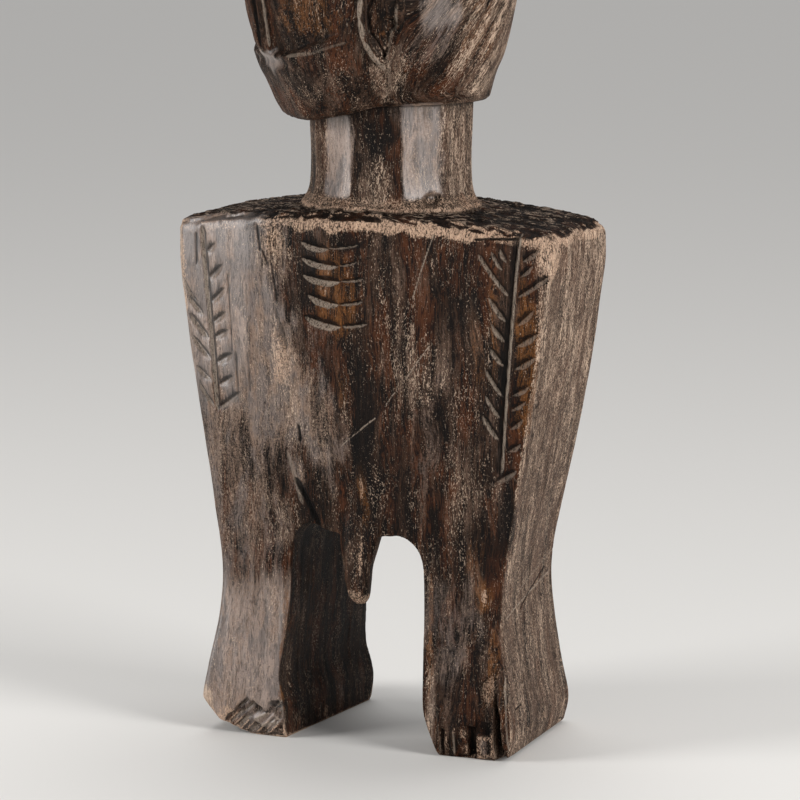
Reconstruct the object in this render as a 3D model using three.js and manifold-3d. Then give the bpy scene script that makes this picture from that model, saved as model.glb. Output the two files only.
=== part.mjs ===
// A standing male figure carved from one block of dark hardwood: a slab body with a ridged chest and no arms,
// two block legs under a square arch, a round neck and a large head that is turned to the figure's right.
// Millimetres, +Z up. The figure faces -Y and its left is +X. Its sizes are measured from the neck's axis, and the
// finished solid is moved so that the origin lies on the floor under the middle of its bounding box.
import * as THREE from "three";
import { mergeVertices } from "three/addons/utils/BufferGeometryUtils.js";
import Module from "manifold-3d";

const wasm = await Module();
wasm.setup();

// Driving dimensions.
const SHOULDER_TOP = 178; // height of the shoulder slab beside the neck
const SHOULDER_DROP = 5.5; // how far the slab falls from the neck to its ends
const SHOULDER_HALF_WIDTH = 66;
const RIM_RADIUS = 4.5; // worn rounding round the shoulder slab
const SOLE_RADIUS = 1.2;
const RIDGE_ROUNDING = 11; // how far the soft keel of the chest reaches from its line
const SPINE_ROUNDING = 18;
const CORNER_ROUNDING = 3;
const NECK_FACETS = 10;
const HEAD_TURN = -46; // degrees about +Z, towards the figure's right
const HEAD_SQUARENESS = 2.8; // superellipse power of the head's level outline
const CHIN_DROP = 5.7; // how far the chin hangs below the rest of the head's underside
const EAR_ANGLE = 70; // degrees from the face's middle line
const FACE_RECESS = 4; // depth of the hollow between nose and temple
const STROKE_TAPER = 0.25; // share of a carved stroke's length that its pointed end takes up
const NOTCH_HEIGHTS = [166.4, 161, 155.6, 148.4, 141.2];

// The slab and the legs share one outline. Each row holds the height and there the half width in front, the half
// width behind, the depth of the front corners, of the rear corners, of the chest's keel and of the spine, and
// how far the keel lies to the figure's left.
const OUTLINE = [
  [0, 54.2, 51.4, 30.0, 29.5, 31.5, 30.5, 3.0],
  [9, 56.2, 52.6, 31.0, 31.5, 32.5, 32.5, 3.0],
  [22, 54.6, 50.8, 30.0, 29.5, 31.5, 30.5, 3.0],
  [42, 51.2, 48.7, 27.5, 26.5, 29.5, 28.0, 3.0],
  [56, 51.0, 48.5, 26.2, 25.0, 29.5, 27.5, 3.0],
  [74, 53.4, 51.6, 25.6, 25.0, 32.0, 30.0, 3.2],
  [100, 57.5, 57.2, 25.6, 25.6, 36.0, 33.5, 2.2],
  [135, 62.8, 63.3, 26.0, 26.0, 38.6, 35.5, -0.6],
  [162, 66.0, 66.6, 26.4, 26.0, 40.0, 36.0, -1.8],
  [SHOULDER_TOP, 66.0, 66.6, 26.4, 26.0, 40.0, 36.0, -1.8],
];

// The two feathered stems on the chest, as x and height at the stem's top and foot. The strokes on either side
// start at the stem at regular heights and climb outward by their reach and rise.
const FEATHERS = [
  {
    stem: [[57.2, 172], [50.4, 95]],
    right: { first: 102.1, pitch: 6.9, count: 10, reach: 8.5, rise: 4.8 },
    left: { first: 105.7, pitch: 8, count: 8, reach: 5.6, rise: 8.4 },
  },
  {
    stem: [[-55.6, 171], [-51, 111]],
    right: { first: 108.8, pitch: 7.5, count: 8, reach: 6.6, rise: 4.6 },
    left: { first: 109.8, pitch: 7, count: 8, reach: 7.2, rise: 8.6 },
  },
];

// The arch between the legs as it is seen from the front: x and height, up the figure's right leg, over the
// crotch and down the left leg.
const ARCH = [
  [-25.6, -4],
  [-25.3, 9],
  [-27.6, 21],
  [-26.2, 34],
  [-24.6, 48],
  [-23.8, 62],
  [-21.8, 70],
  [-16.5, 74],
  [-10, 72.2],
  [2, 70.6],
  [12, 71.6],
  [17, 71.9],
  [21.8, 68.6],
  [24.2, 62],
  [24.7, 45],
  [24.8, 26],
  [25.2, 16],
  [27, 9.5],
  [30.2, 1],
  [31.6, -4],
];
const ARCH_FRONT_Y = -31;
const ARCH_BACK_Y = 31;
const ARCH_BACK_SHARE = 0.83; // the arch narrows to this share of its width behind

// The head, each row: height, half length, half width and how far its centre lies forward of the neck's axis.
const HEAD = [
  [213.6, 33.0, 28.6, 1.8],
  [221, 36.0, 31.6, 3.1],
  [228, 40.0, 33.8, 4.2],
  [241, 43.7, 36.0, 4.8],
  [255, 46.0, 37.8, 4.6],
  [268, 46.4, 38.0, 4.0],
  [280, 43.6, 36.2, 3.2],
  [291, 36.4, 30.6, 2.2],
  [299, 25.4, 21.6, 1.5],
  [303.5, 12.8, 11.2, 1.0],
  [305, 3.0, 2.6, 1.0],
];

const NECK = [
  [168, 30.5],
  [178, 29.6],
  [180.5, 27.9],
  [184, 26.9],
  [193, 26.6],
  [203, 26.9],
  [216, 27.2],
];

// The peg below the belly, each row: height, centre x, centre y, half width, half depth.
const PEG = [
  [90, 2.8, -24.5, 5.6, 4.8],
  [81, 2.6, -27.8, 7.0, 5.2],
  [73, 2.3, -29.8, 7.2, 5.4],
  [67, 2.1, -30.6, 6.4, 5.2],
  [61, 2.1, -31.0, 4.9, 4.6],
  [55.5, 2.3, -31.2, 4.1, 4.1],
  [51.5, 2.7, -31.3, 3.3, 3.3],
  [48.8, 3.1, -31.3, 1.7, 1.7],
];

const clamp01 = (t) => Math.min(1, Math.max(0, t));
const smooth = (from, to, v) => {
  const t = clamp01((v - from) / (to - from));
  return t * t * (3 - 2 * t);
};
const radians = THREE.MathUtils.degToRad;

// Reads every column of a table at a height, along a smooth curve through its rows.
function rowAt(table, z) {
  const last = table.length - 1;
  let i = 0;
  while (i < last - 1 && z > table[i + 1][0]) i++;
  const span = table[i + 1][0] - table[i][0];
  const t = clamp01((z - table[i][0]) / span);
  const slope = (k, c) => {
    const low = table[Math.max(0, k - 1)];
    const high = table[Math.min(last, k + 1)];
    return ((high[c] - low[c]) / (high[0] - low[0])) * span;
  };
  return table[0].map((_, c) => {
    const [a, b] = [table[i][c], table[i + 1][c]];
    return (
      a * (2 * t ** 3 - 3 * t ** 2 + 1) +
      slope(i, c) * (t ** 3 - 2 * t ** 2 + t) +
      b * (3 * t ** 2 - 2 * t ** 3) +
      slope(i + 1, c) * (t ** 3 - t ** 2)
    );
  });
}

// A closed polygon whose corners are turned into short curves, with the same number of points at any size.
function roundedPolygon(corners, roundings, arcSteps, edgeSteps) {
  const points = [];
  corners.forEach((corner, i) => {
    const before = corners[(i + corners.length - 1) % corners.length];
    const after = corners[(i + 1) % corners.length];
    const nextRounding = roundings[(i + 1) % corners.length];
    const enter = corner.clone().add(before.clone().sub(corner).setLength(roundings[i]));
    const leave = corner.clone().add(after.clone().sub(corner).setLength(roundings[i]));
    const nextEnter = after.clone().add(corner.clone().sub(after).setLength(nextRounding));
    for (let k = 0; k <= arcSteps; k++) {
      const t = k / arcSteps;
      points.push(
        new THREE.Vector2()
          .addScaledVector(enter, (1 - t) ** 2)
          .addScaledVector(corner, 2 * t * (1 - t))
          .addScaledVector(leave, t ** 2),
      );
    }
    for (let k = 1; k < edgeSteps; k++)
      points.push(leave.clone().lerp(nextEnter, k / edgeSteps));
  });
  return points;
}

// The level outline of slab and legs at a height, taken in by inset, anticlockwise seen from above.
function slabOutline(z, inset = 0) {
  const [, front, rear, frontCorner, rearCorner, keel, spine, keelX] = rowAt(OUTLINE, z);
  const corners = [
    new THREE.Vector2(keelX, -(keel - inset)),
    new THREE.Vector2(front - inset, -(frontCorner - inset)),
    new THREE.Vector2(rear - inset, rearCorner - inset),
    new THREE.Vector2(0, spine - inset),
    new THREE.Vector2(-(rear - inset), rearCorner - inset),
    new THREE.Vector2(-(front - inset), -(frontCorner - inset)),
  ];
  const c = CORNER_ROUNDING;
  return roundedPolygon(corners, [RIDGE_ROUNDING, c, c, SPINE_ROUNDING, c, c], 3, 3);
}

// The front surface's y at a place on the chest or the legs.
function frontY(x, z) {
  const outline = slabOutline(z);
  let found = 0;
  outline.forEach((a, i) => {
    const b = outline[(i + 1) % outline.length];
    if ((a.x - x) * (b.x - x) <= 0 && a.x !== b.x)
      found = Math.min(found, a.y + ((x - a.x) / (b.x - a.x)) * (b.y - a.y));
  });
  return found;
}

// A closed surface through rings of points, each with a fan to its own middle at both ends.
function loft(rings) {
  const count = rings[0].length;
  const flat = rings.flat();
  const middle = (ring) =>
    ring.reduce((sum, p) => sum.add(p), new THREE.Vector3()).divideScalar(count);
  flat.push(middle(rings[0]), middle(rings[rings.length - 1]));
  const [low, high] = [flat.length - 2, flat.length - 1];
  const top = (rings.length - 1) * count;
  const index = [];
  for (let i = 0; i < count; i++) {
    const j = (i + 1) % count;
    for (let r = 0; r < top; r += count)
      index.push(r + i, r + j, r + count + j, r + i, r + count + j, r + count + i);
    index.push(low, j, i, high, top + i, top + j);
  }
  return new THREE.BufferGeometry().setFromPoints(flat).setIndex(index);
}

function solidFrom(geometry, matrix = new THREE.Matrix4()) {
  const bare = geometry.clone().applyMatrix4(matrix);
  bare.deleteAttribute("normal");
  bare.deleteAttribute("uv");
  const merged = mergeVertices(bare, 1e-4);
  return new wasm.Manifold(
    new wasm.Mesh({
      numProp: 3,
      vertProperties: merged.attributes.position.array,
      triVerts: new Uint32Array(merged.index.array),
    }),
  );
}

function geometryFrom(solid) {
  const mesh = solid.getMesh();
  const made = new THREE.BufferGeometry();
  made.setAttribute("position", new THREE.BufferAttribute(mesh.vertProperties, 3));
  made.setIndex(new THREE.BufferAttribute(mesh.triVerts, 1));
  return made;
}

// The slab and legs before the arch is cut: level outlines, a rounded sole and rim, and a gently domed top.
function slab() {
  const levels = [[0, SOLE_RADIUS], [SOLE_RADIUS, 0]];
  const rimStart = SHOULDER_TOP - RIM_RADIUS;
  for (const z of [6, 10, 16, 23, 32, 42, 50, 58, 66, 75, 85, 97, 110, 123, 136, 149, 161])
    levels.push([z, 0]);
  const rimSteps = 4;
  for (let k = 0; k <= rimSteps; k++) {
    const a = (Math.PI / 2) * (k / rimSteps);
    levels.push([rimStart + RIM_RADIUS * Math.sin(a), RIM_RADIUS * (1 - Math.cos(a))]);
  }
  const rings = levels.map(([z, inset]) =>
    slabOutline(z, inset).map((p) => new THREE.Vector3(p.x, p.y, z)),
  );
  const lid = rings[rings.length - 1];
  for (const share of [0.8, 0.55, 0.3])
    rings.push(lid.map((p) => new THREE.Vector3(p.x * share, p.y * share, p.z)));
  for (const ring of rings)
    for (const p of ring)
      p.z -= shoulderFall(p.x, p.z);
  return solidFrom(loft(rings));
}

// How far the top of the slab has dropped at x; the drop fades out down the chest.
function shoulderFall(x, z) {
  return SHOULDER_DROP * (x / SHOULDER_HALF_WIDTH) ** 2 * smooth(140, SHOULDER_TOP, z);
}

// The opening between the legs, narrower behind than in front.
function archCutter() {
  const curve = new THREE.CatmullRomCurve3(
    ARCH.map(([x, z]) => new THREE.Vector3(x, 0, z)),
    false,
    "centripetal",
  );
  const outline = curve.getPoints(40);
  const beyond = 25;
  const rings = [ARCH_BACK_Y + beyond, ARCH_BACK_Y, 0, ARCH_FRONT_Y, ARCH_FRONT_Y - beyond].map(
    (y) => {
      const back = clamp01((y - ARCH_FRONT_Y) / (ARCH_BACK_Y - ARCH_FRONT_Y));
      const share = 1 - (1 - ARCH_BACK_SHARE) * back;
      return outline.map((p) => new THREE.Vector3(p.x * share, y, p.z));
    },
  );
  return solidFrom(loft(rings.map((ring) => ring.reverse())));
}

// A round or many-sided column through rows of level rings.
function column(rows, sides, radiusAt) {
  return solidFrom(
    loft(
      rows.map((row) =>
        Array.from({ length: sides }, (_, i) => {
          const angle = (2 * Math.PI * i) / sides;
          const [x, y] = radiusAt(row, angle);
          return new THREE.Vector3(x, y, row[0]);
        }),
      ),
    ),
  );
}

// The neck is shaved into flat strips, so its outline lies between a circle and a polygon.
function neck() {
  const strip = (2 * Math.PI) / NECK_FACETS;
  const flattening = 0.6;
  return column(NECK, NECK_FACETS * 3, ([, radius], angle) => {
    const off = (((angle % strip) + strip) % strip) - strip / 2;
    const polygon = Math.cos(strip / 2) / Math.cos(off);
    const r = radius * (1 - flattening + flattening * (polygon + 0.02));
    return [r * Math.cos(angle), r * Math.sin(angle)];
  });
}

function peg() {
  const rows = PEG.slice().reverse();
  return column(rows, 14, ([, x, y, w, d], angle) => [
    x + w * Math.cos(angle),
    y + d * Math.sin(angle),
  ]);
}

// How deep the hollow of the face is at an angle from its middle line and a height.
function faceRecess(angle, z) {
  const side = Math.abs(angle);
  const across = smooth(0.06, 0.22, side) * (1 - smooth(0.62, 1.08, side));
  const curl = 6.5 * smooth(0.35, 1.05, side); // the lower edge climbs towards the ear
  const up = smooth(228 + curl, 231.5 + curl, z) * (1 - smooth(256, 266, z));
  return FACE_RECESS * across * up;
}

// The mouth is a level groove across the front of the jaw, right under the hollow.
function mouthGroove(angle, z) {
  const lip = Math.exp(-(((z - 227.6) / 1.5) ** 2));
  return 1.6 * lip * (1 - smooth(0.34, 0.56, Math.abs(angle)));
}

// A point of the head's surface, in the head's own frame: it faces -Y, and the angle is 0 at the face's middle.
function headPoint(angle, z) {
  const [, length, width, forward] = rowAt(HEAD, z);
  const [c, s] = [Math.cos(angle), Math.sin(angle)];
  const power = HEAD_SQUARENESS;
  const unit = (Math.abs(c / length) ** power + Math.abs(s / width) ** power) ** (-1 / power);
  const r = unit - faceRecess(angle, z) - mouthGroove(angle, z);
  const u = forward + r * c;
  const drop = CHIN_DROP * clamp01((u - 17) / 18) * (1 - smooth(214, 233, z));
  return new THREE.Vector3(r * s, -u, z - drop);
}

function headBall() {
  const sides = 44;
  const heights = [
    213.6, 215, 218, 222, 225.6, 227.6, 229.6, 232, 236, 241, 247, 253, 258, 263, 268, 274, 280, 286,
    291, 295.5, 299, 302, 304, 305,
  ];
  const rings = heights.map((z) =>
    Array.from({ length: sides }, (_, i) => headPoint(-Math.PI + (2 * Math.PI * (i + 0.5)) / sides, z)),
  );
  const underside = rings[0].map((p) => new THREE.Vector3(p.x * 0.95, p.y * 0.95, p.z - 1));
  return solidFrom(loft([underside, ...rings]));
}

// The nose is a long narrow bar that stands in the hollow, level with the brow and wider at its tip.
function nose() {
  const rows = [
    [228.8, 3.2, 3.2],
    [230.6, 3.9, 4.4],
    [236, 3.5, 4.0],
    [246, 2.8, 2.9],
    [256, 2.4, 1.6],
    [264, 2.2, 0.0],
  ];
  const rings = rows.map(([z, halfWidth, proud]) => {
    const [, length, , forward] = rowAt(HEAD, z);
    const back = -(forward + length - 9);
    const front = -(forward + length - 2.6 + proud * 0.7);
    return roundedPolygon(
      [
        new THREE.Vector2(-halfWidth, back),
        new THREE.Vector2(-halfWidth, front),
        new THREE.Vector2(halfWidth, front),
        new THREE.Vector2(halfWidth, back),
      ],
      [1, 1.5, 1.5, 1],
      2,
      1,
    ).map((p) => new THREE.Vector3(p.x, p.y, z));
  });
  return solidFrom(loft(rings));
}

// An ear is a raised oval ring; an eye is a low almond. Both lie on the head at an angle and a height.
function surfaceFrame(angle, z) {
  const step = 0.02;
  const at = headPoint(angle, z);
  const across = headPoint(angle + step, z).sub(headPoint(angle - step, z)).normalize();
  const up = headPoint(angle, z + 1).sub(headPoint(angle, z - 1)).normalize();
  const out = across.clone().cross(up).normalize();
  return { at, across, up, out };
}

function ear(side) {
  const { at, across, up, out } = surfaceFrame(side * radians(EAR_ANGLE), 243);
  const [halfWidth, halfHeight, rimHalfWidth, proud] = [6.2, 15.5, 1.7, 2.0];
  const [around, section] = [26, 6];
  const points = [];
  const index = [];
  for (let i = 0; i < around; i++) {
    const a = (2 * Math.PI * i) / around;
    const radial = across.clone().multiplyScalar(halfHeight * Math.cos(a));
    radial.addScaledVector(up, halfWidth * Math.sin(a)).normalize();
    const centre = at.clone().addScaledVector(across, halfWidth * Math.cos(a));
    centre.addScaledVector(up, halfHeight * Math.sin(a)).addScaledVector(out, -0.4);
    for (let k = 0; k < section; k++) {
      const b = (2 * Math.PI * k) / section;
      points.push(
        centre
          .clone()
          .addScaledVector(radial, rimHalfWidth * Math.cos(b))
          .addScaledVector(out, proud * Math.sin(b)),
      );
      const [p, q] = [i * section + k, i * section + ((k + 1) % section)];
      const [r, s] = [((i + 1) % around) * section + k, ((i + 1) % around) * section + ((k + 1) % section)];
      index.push(p, r, s, p, s, q);
    }
  }
  const made = new THREE.BufferGeometry().setFromPoints(points).setIndex(index);
  return solidFrom(made);
}

function eye(side) {
  const { at, across, up, out } = surfaceFrame(side * 0.42, 250);
  const place = new THREE.Matrix4().makeBasis(across, up, out).setPosition(at);
  const shape = new THREE.SphereGeometry(1, 10, 6).scale(7, 2.8, 1.6);
  return solidFrom(shape, place);
}

// One chip-carved stroke: a groove with a sharp bottom and pointed ends, laid on the front surface.
function stroke([fromX, fromZ], [toX, toZ], width, depth, taper = STROKE_TAPER) {
  const on = (t) => {
    const [x, z] = [fromX + (toX - fromX) * t, fromZ + (toZ - fromZ) * t];
    return new THREE.Vector3(x, frontY(x, z), z - shoulderFall(x, z));
  };
  const [start, end] = [on(0), on(1)];
  const along = end.clone().sub(start).normalize();
  const side = new THREE.Vector3(0, -1, 0).cross(along).normalize();
  const out = along.clone().cross(side).normalize();
  if (out.y > 0) out.negate();
  const points = [start.addScaledVector(out, 0.05), end.addScaledVector(out, 0.05)];
  for (const t of [taper, 1 - taper]) {
    const middle = on(t);
    for (const hand of [-1, 1])
      points.push(middle.clone().addScaledVector(side, (hand * width) / 2).addScaledVector(out, 0.1));
    points.push(middle.clone().addScaledVector(out, -depth));
  }
  points.push(on(0.5).addScaledVector(out, 1.2));
  return wasm.Manifold.hull(points.map((p) => p.toArray()));
}

// A feathered stem: a long groove with rows of strokes that climb away from it to the right and to the left, as
// far as the corner of the chest at most.
function feather({ stem, right, left }) {
  const [[topX, topZ], [footX, footZ]] = stem;
  const stemX = (z) => footX + ((topX - footX) * (z - footZ)) / (topZ - footZ);
  const cuts = [stroke(stem[0], stem[1], 1.5, 0.9, 0.04)];
  for (const [hand, row] of [[1, right], [-1, left]])
    for (let k = 0; k < row.count; k++) {
      const z = row.first + k * row.pitch;
      const corner = rowAt(OUTLINE, z + row.rise)[1] - CORNER_ROUNDING * 0.7;
      const x = stemX(z) + hand * 1.0;
      const reach = Math.min(row.reach, corner - hand * x);
      const share = reach / row.reach;
      cuts.push(stroke([x, z], [x + hand * reach, z + row.rise * share], 1.5, 0.9));
    }
  return cuts;
}

// Five chevrons notched across the keel below the neck.
function breastNotches() {
  return NOTCH_HEIGHTS.flatMap((z) => {
    const keel = rowAt(OUTLINE, z)[7];
    return [
      stroke([keel + 0.8, z], [keel - 13.2, z + 2.2], 2.2, 1.3),
      stroke([keel + 1.6, z + 0.3], [keel + 9, z + 1.4], 1.8, 1.1),
    ];
  });
}

// A wedge through three points of a face and one inside, swept along a direction: used for chips and splits.
function wedge(corners, sweep) {
  const far = corners.map((p) => p.map((v, i) => v + sweep[i]));
  return wasm.Manifold.hull([...corners, ...far]);
}

// The damage on the feet: the figure's right foot has lost its outer toe, the left one is split and has lost its
// toes, and both heels are worn round.
function footDamage() {
  return [
    wedge([[-62, -45, 12], [-62, -45, -3], [-38, -45, -3], [-45, -45, 1.4], [-54, -45, 5]], [0, 22, 0]),
    wedge([[49.6, -45, -2], [52.8, -45, -2], [51.6, -45, 25]], [0, 23, 0]),
    wedge([[33, -45, -2], [48, -45, -2], [48, -45, 12.5], [33, -45, 11.5]], [0, 16.2, 0]),
    wedge([[-60, 26, -2], [-60, 45, -2], [-60, 45, 9]], [120, 0, 0]),
  ];
}

const wood = new THREE.MeshStandardMaterial({
  name: "dark_hardwood",
  color: 0x4a3a30,
  roughness: 0.62,
  metalness: 0,
});

function figure() {
  const turn = new THREE.Matrix4().makeRotationZ(radians(HEAD_TURN));
  const head = [headBall(), nose(), ear(1), ear(-1), eye(1), eye(-1)].reduce((a, b) => a.add(b));
  const cuts = [archCutter(), ...footDamage(), ...FEATHERS.flatMap(feather), ...breastNotches()];
  const body = cuts.reduce((a, b) => a.subtract(b), slab());
  const whole = body.add(peg()).add(neck()).add(solidFrom(geometryFrom(head), turn));
  const box = whole.boundingBox();
  const centred = whole.translate([-(box.min[0] + box.max[0]) / 2, -(box.min[1] + box.max[1]) / 2, 0]);
  const mesh = new THREE.Mesh(geometryFrom(centred.simplify(0.02)), wood);
  mesh.name = "figure";
  return mesh;
}

const group = new THREE.Group();
group.add(figure());

export default group;
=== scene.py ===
"""A carved hardwood figure: one block of dark, worn wood with a ridged chest, two legs under an arch, a
round neck and a large turned head. The carving is worked out in millimetres from the neck's axis, +Z up,
and the figure faces -Y. Left and right are the figure's own. It becomes one closed mesh that stands for
the plain solid."""

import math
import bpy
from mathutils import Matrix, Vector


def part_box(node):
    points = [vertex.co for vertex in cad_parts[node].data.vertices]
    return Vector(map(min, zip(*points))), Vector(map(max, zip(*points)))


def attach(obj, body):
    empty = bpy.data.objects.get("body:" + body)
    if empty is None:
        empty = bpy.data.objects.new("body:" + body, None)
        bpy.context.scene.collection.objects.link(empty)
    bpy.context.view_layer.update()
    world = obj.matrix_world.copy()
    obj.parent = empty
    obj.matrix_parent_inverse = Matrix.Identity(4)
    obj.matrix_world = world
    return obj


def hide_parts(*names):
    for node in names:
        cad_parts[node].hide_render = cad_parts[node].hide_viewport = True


bl_info = {
    "name": "Carved wooden figure",
    "version": (1, 0, 0),
    "blender": (4, 5, 0),
    "location": "3D View > Sidebar > Figure",
    "description": "Builds a worn hardwood figure, its wood finish and a plain studio around it",
    "category": "Add Mesh",
}

from types import SimpleNamespace

import bmesh
import bpy
import numpy as np
from mathutils import Vector

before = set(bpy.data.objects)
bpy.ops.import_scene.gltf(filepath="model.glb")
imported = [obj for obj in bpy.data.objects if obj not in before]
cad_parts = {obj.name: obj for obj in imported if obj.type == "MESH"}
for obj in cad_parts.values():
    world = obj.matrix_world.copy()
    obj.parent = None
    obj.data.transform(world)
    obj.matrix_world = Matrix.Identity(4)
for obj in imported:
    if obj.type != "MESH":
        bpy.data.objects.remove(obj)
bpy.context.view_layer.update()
MM = 0.001

# The box's middle lies this far behind the neck's axis, because the face overhangs in front.
AXIS_SHIFT = 2.78

# The slab and the legs share one outline. Each row: height, half width in front, half width behind, depth
# of the front corners, of the rear corners, of the chest's keel and of the spine, and the keel's place
# across.
SHOULDER_TOP = 178.0
OUTLINE = (
    (0, 54.2, 51.4, 30.0, 29.5, 31.5, 30.5, 3.0),
    (9, 56.2, 52.6, 31.0, 31.5, 32.5, 32.5, 3.0),
    (22, 54.6, 50.8, 30.0, 29.5, 31.5, 30.5, 3.0),
    (42, 51.2, 48.7, 27.5, 26.5, 29.5, 28.0, 3.0),
    (56, 51.0, 48.5, 26.2, 25.0, 29.5, 27.5, 3.0),
    (74, 53.4, 51.6, 25.6, 25.0, 32.0, 30.0, 3.2),
    (100, 57.5, 57.2, 25.6, 25.6, 36.0, 33.5, 2.2),
    (135, 62.8, 63.3, 26.0, 26.0, 38.6, 35.5, -0.6),
    (162, 66.0, 66.6, 26.4, 26.0, 40.0, 36.0, -1.8),
    (SHOULDER_TOP, 66.0, 66.6, 26.4, 26.0, 40.0, 36.0, -1.8),
)
SHOULDER_DROP = 5.5
SHOULDER_HALF_WIDTH = 66.0
RIM_RADIUS = 4.5
SOLE_RADIUS = 1.2
KEEL_ROUNDING = 11.0
SPINE_ROUNDING = 18.0
CORNER_ROUNDING = 2.2

# Beyond this distance from the middle, a vertex that faces sideways is on the outer side of the figure.
SIDE_START = 44.0

# The arch between the legs, seen from the front: across and height, up one leg, over the crotch, down the
# other. Its cutter stands out past both faces.
ARCH = (
    (-25.6, -4), (-25.3, 9), (-27.6, 21), (-26.2, 34), (-24.6, 48), (-23.8, 62), (-21.8, 70), (-16.5, 74),
    (-10, 72.2), (2, 70.6), (12, 71.6), (17, 71.9), (21.8, 68.6), (24.2, 62), (24.7, 45), (24.8, 26),
    (25.2, 16), (27, 9.5), (30.2, 1), (31.6, -4),
)
ARCH_FRONT = -31.0
ARCH_BACK = 31.0
ARCH_PAST = 25.0
ARCH_BACK_SHARE = 0.83

# Each row: height, half length, half width, and how far the head's centre lies forward of the neck's
# axis.
HEAD = (
    (213.6, 33.0, 28.6, 1.8),
    (221, 36.0, 31.6, 3.1),
    (228, 40.0, 33.8, 4.2),
    (241, 43.7, 36.0, 4.8),
    (255, 46.0, 37.8, 4.6),
    (268, 46.4, 38.0, 4.0),
    (280, 43.6, 36.2, 3.2),
    (291, 36.4, 30.6, 2.2),
    (299, 25.4, 21.6, 1.5),
    (303.5, 12.8, 11.2, 1.0),
    (305, 3.0, 2.6, 1.0),
)
HEAD_SQUARENESS = 2.8
HEAD_TURN = math.radians(-46)
CHIN_DROP = 5.7
CHIN_START = 17.0
CHIN_RAMP = 18.0
FACE_RECESS = 4.0
FACE_FLOOR = 228.2
BROW = 256.0
MOUTH_HEIGHT = 227.4
MOUTH_DEPTH = 1.5

# Each row: height, half width, and how far the nose stands out.
NOSE = (
    (228.8, 3.2, 3.2),
    (230.6, 3.9, 4.4),
    (236, 3.5, 4.0),
    (246, 2.8, 2.9),
    (256, 2.4, 1.6),
    (264, 2.2, 0.0),
)

EAR_ANGLE = math.radians(72.4)
EAR_HEIGHT = 243.0
EAR_HALF_WIDTH = 6.4
EAR_HALF_HEIGHT = 15.5
EAR_RIM = 1.55
EYE_ANGLE = 0.42
EYE_HEIGHT = 250.0
EYE_WIDTH = 15.0
EYE_HALF_HEIGHT = 2.9
EYE_PROUD = 1.7

# The grain slants on the left and the back of the head: how far it moves to the left and back for each
# millimetre above this height.
LEAN_HEIGHT = 230.0
LEAN = (0.5, 0.45)

# Each row: height and radius.
NECK = ((168, 30.5), (178, 29.6), (180.5, 27.9), (184, 26.9), (193, 26.6), (203, 26.9), (216, 27.2))
NECK_FACETS = 10
NECK_PHASE = math.radians(13)
NECK_FLATNESS = 0.85

# Each row: height, centre across, centre in depth, half width and half depth.
PEG = (
    (48.8, 3.1, -31.3, 1.5, 1.6),
    (51.0, 2.8, -31.3, 3.1, 3.2),
    (55.5, 2.3, -31.2, 4.2, 4.1),
    (61, 2.1, -30.6, 4.7, 4.4),
    (67, 2.1, -29.8, 6.2, 5.0),
    (73, 2.3, -28.4, 7.2, 5.2),
    (81, 2.6, -26.6, 7.0, 5.2),
    (90, 2.8, -24.5, 5.6, 4.8),
)
PEG_SQUARENESS = 2.7

# The split in the left foot: height of its tip, the place of its inner wall, and its half width at the
# sole.
SPLIT_TOP = 25.5
SPLIT_MIDDLE = 50.0
SPLIT_HALF_WIDTH = 2.2
SPLIT_FRONT = -34.0

# Broken toes of the left foot, as blocks set back from the front. Each row: from x, to x, bottom, top,
# how far it is set back, and how much of that it loses towards its top.
TOES = (
    (31.7, 32.9, 0.5, 9.8, 1.3, 0.0),
    (34.4, 35.2, 0.5, 8.6, 0.5, 0.3),
    (37.0, 41.2, -1.0, 10.4, 0.8, 0.2),
    (41.0, 44.0, -1.0, 11.0, 2.9, 0.2),
    (43.9, 50.2, 8.4, 17.0, 2.2, 1.0),
)

# The upper border of the broken part of the right foot: across and height.
BREAK = ((-48.8, -3.0), (-47.2, 4.8), (-38.9, 13.0), (-31.4, 8.8), (-27.4, 13.2), (-23.0, 14.6))

# Worn corners, cut by planes. Each row: a point of the plane, the way it faces, and how far from the
# point it cuts.
CHOPS = (
    ((-37.0, -30.5, 0.0), (-0.33, -0.28, -0.94), 32.0),
    ((-50.0, -30.0, 4.6), (-0.76, -0.30, -0.65), 26.0),
    ((64.4, -26.2, 150.0), (0.70, -0.68, 0.115), 36.0),
    ((-64.6, -25.9, 150.0), (-0.80, -0.60, 0.0), 36.0),
    ((-54.5, 28.0, 3.5), (-0.45, 0.45, -0.77), 18.0),
)

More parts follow.
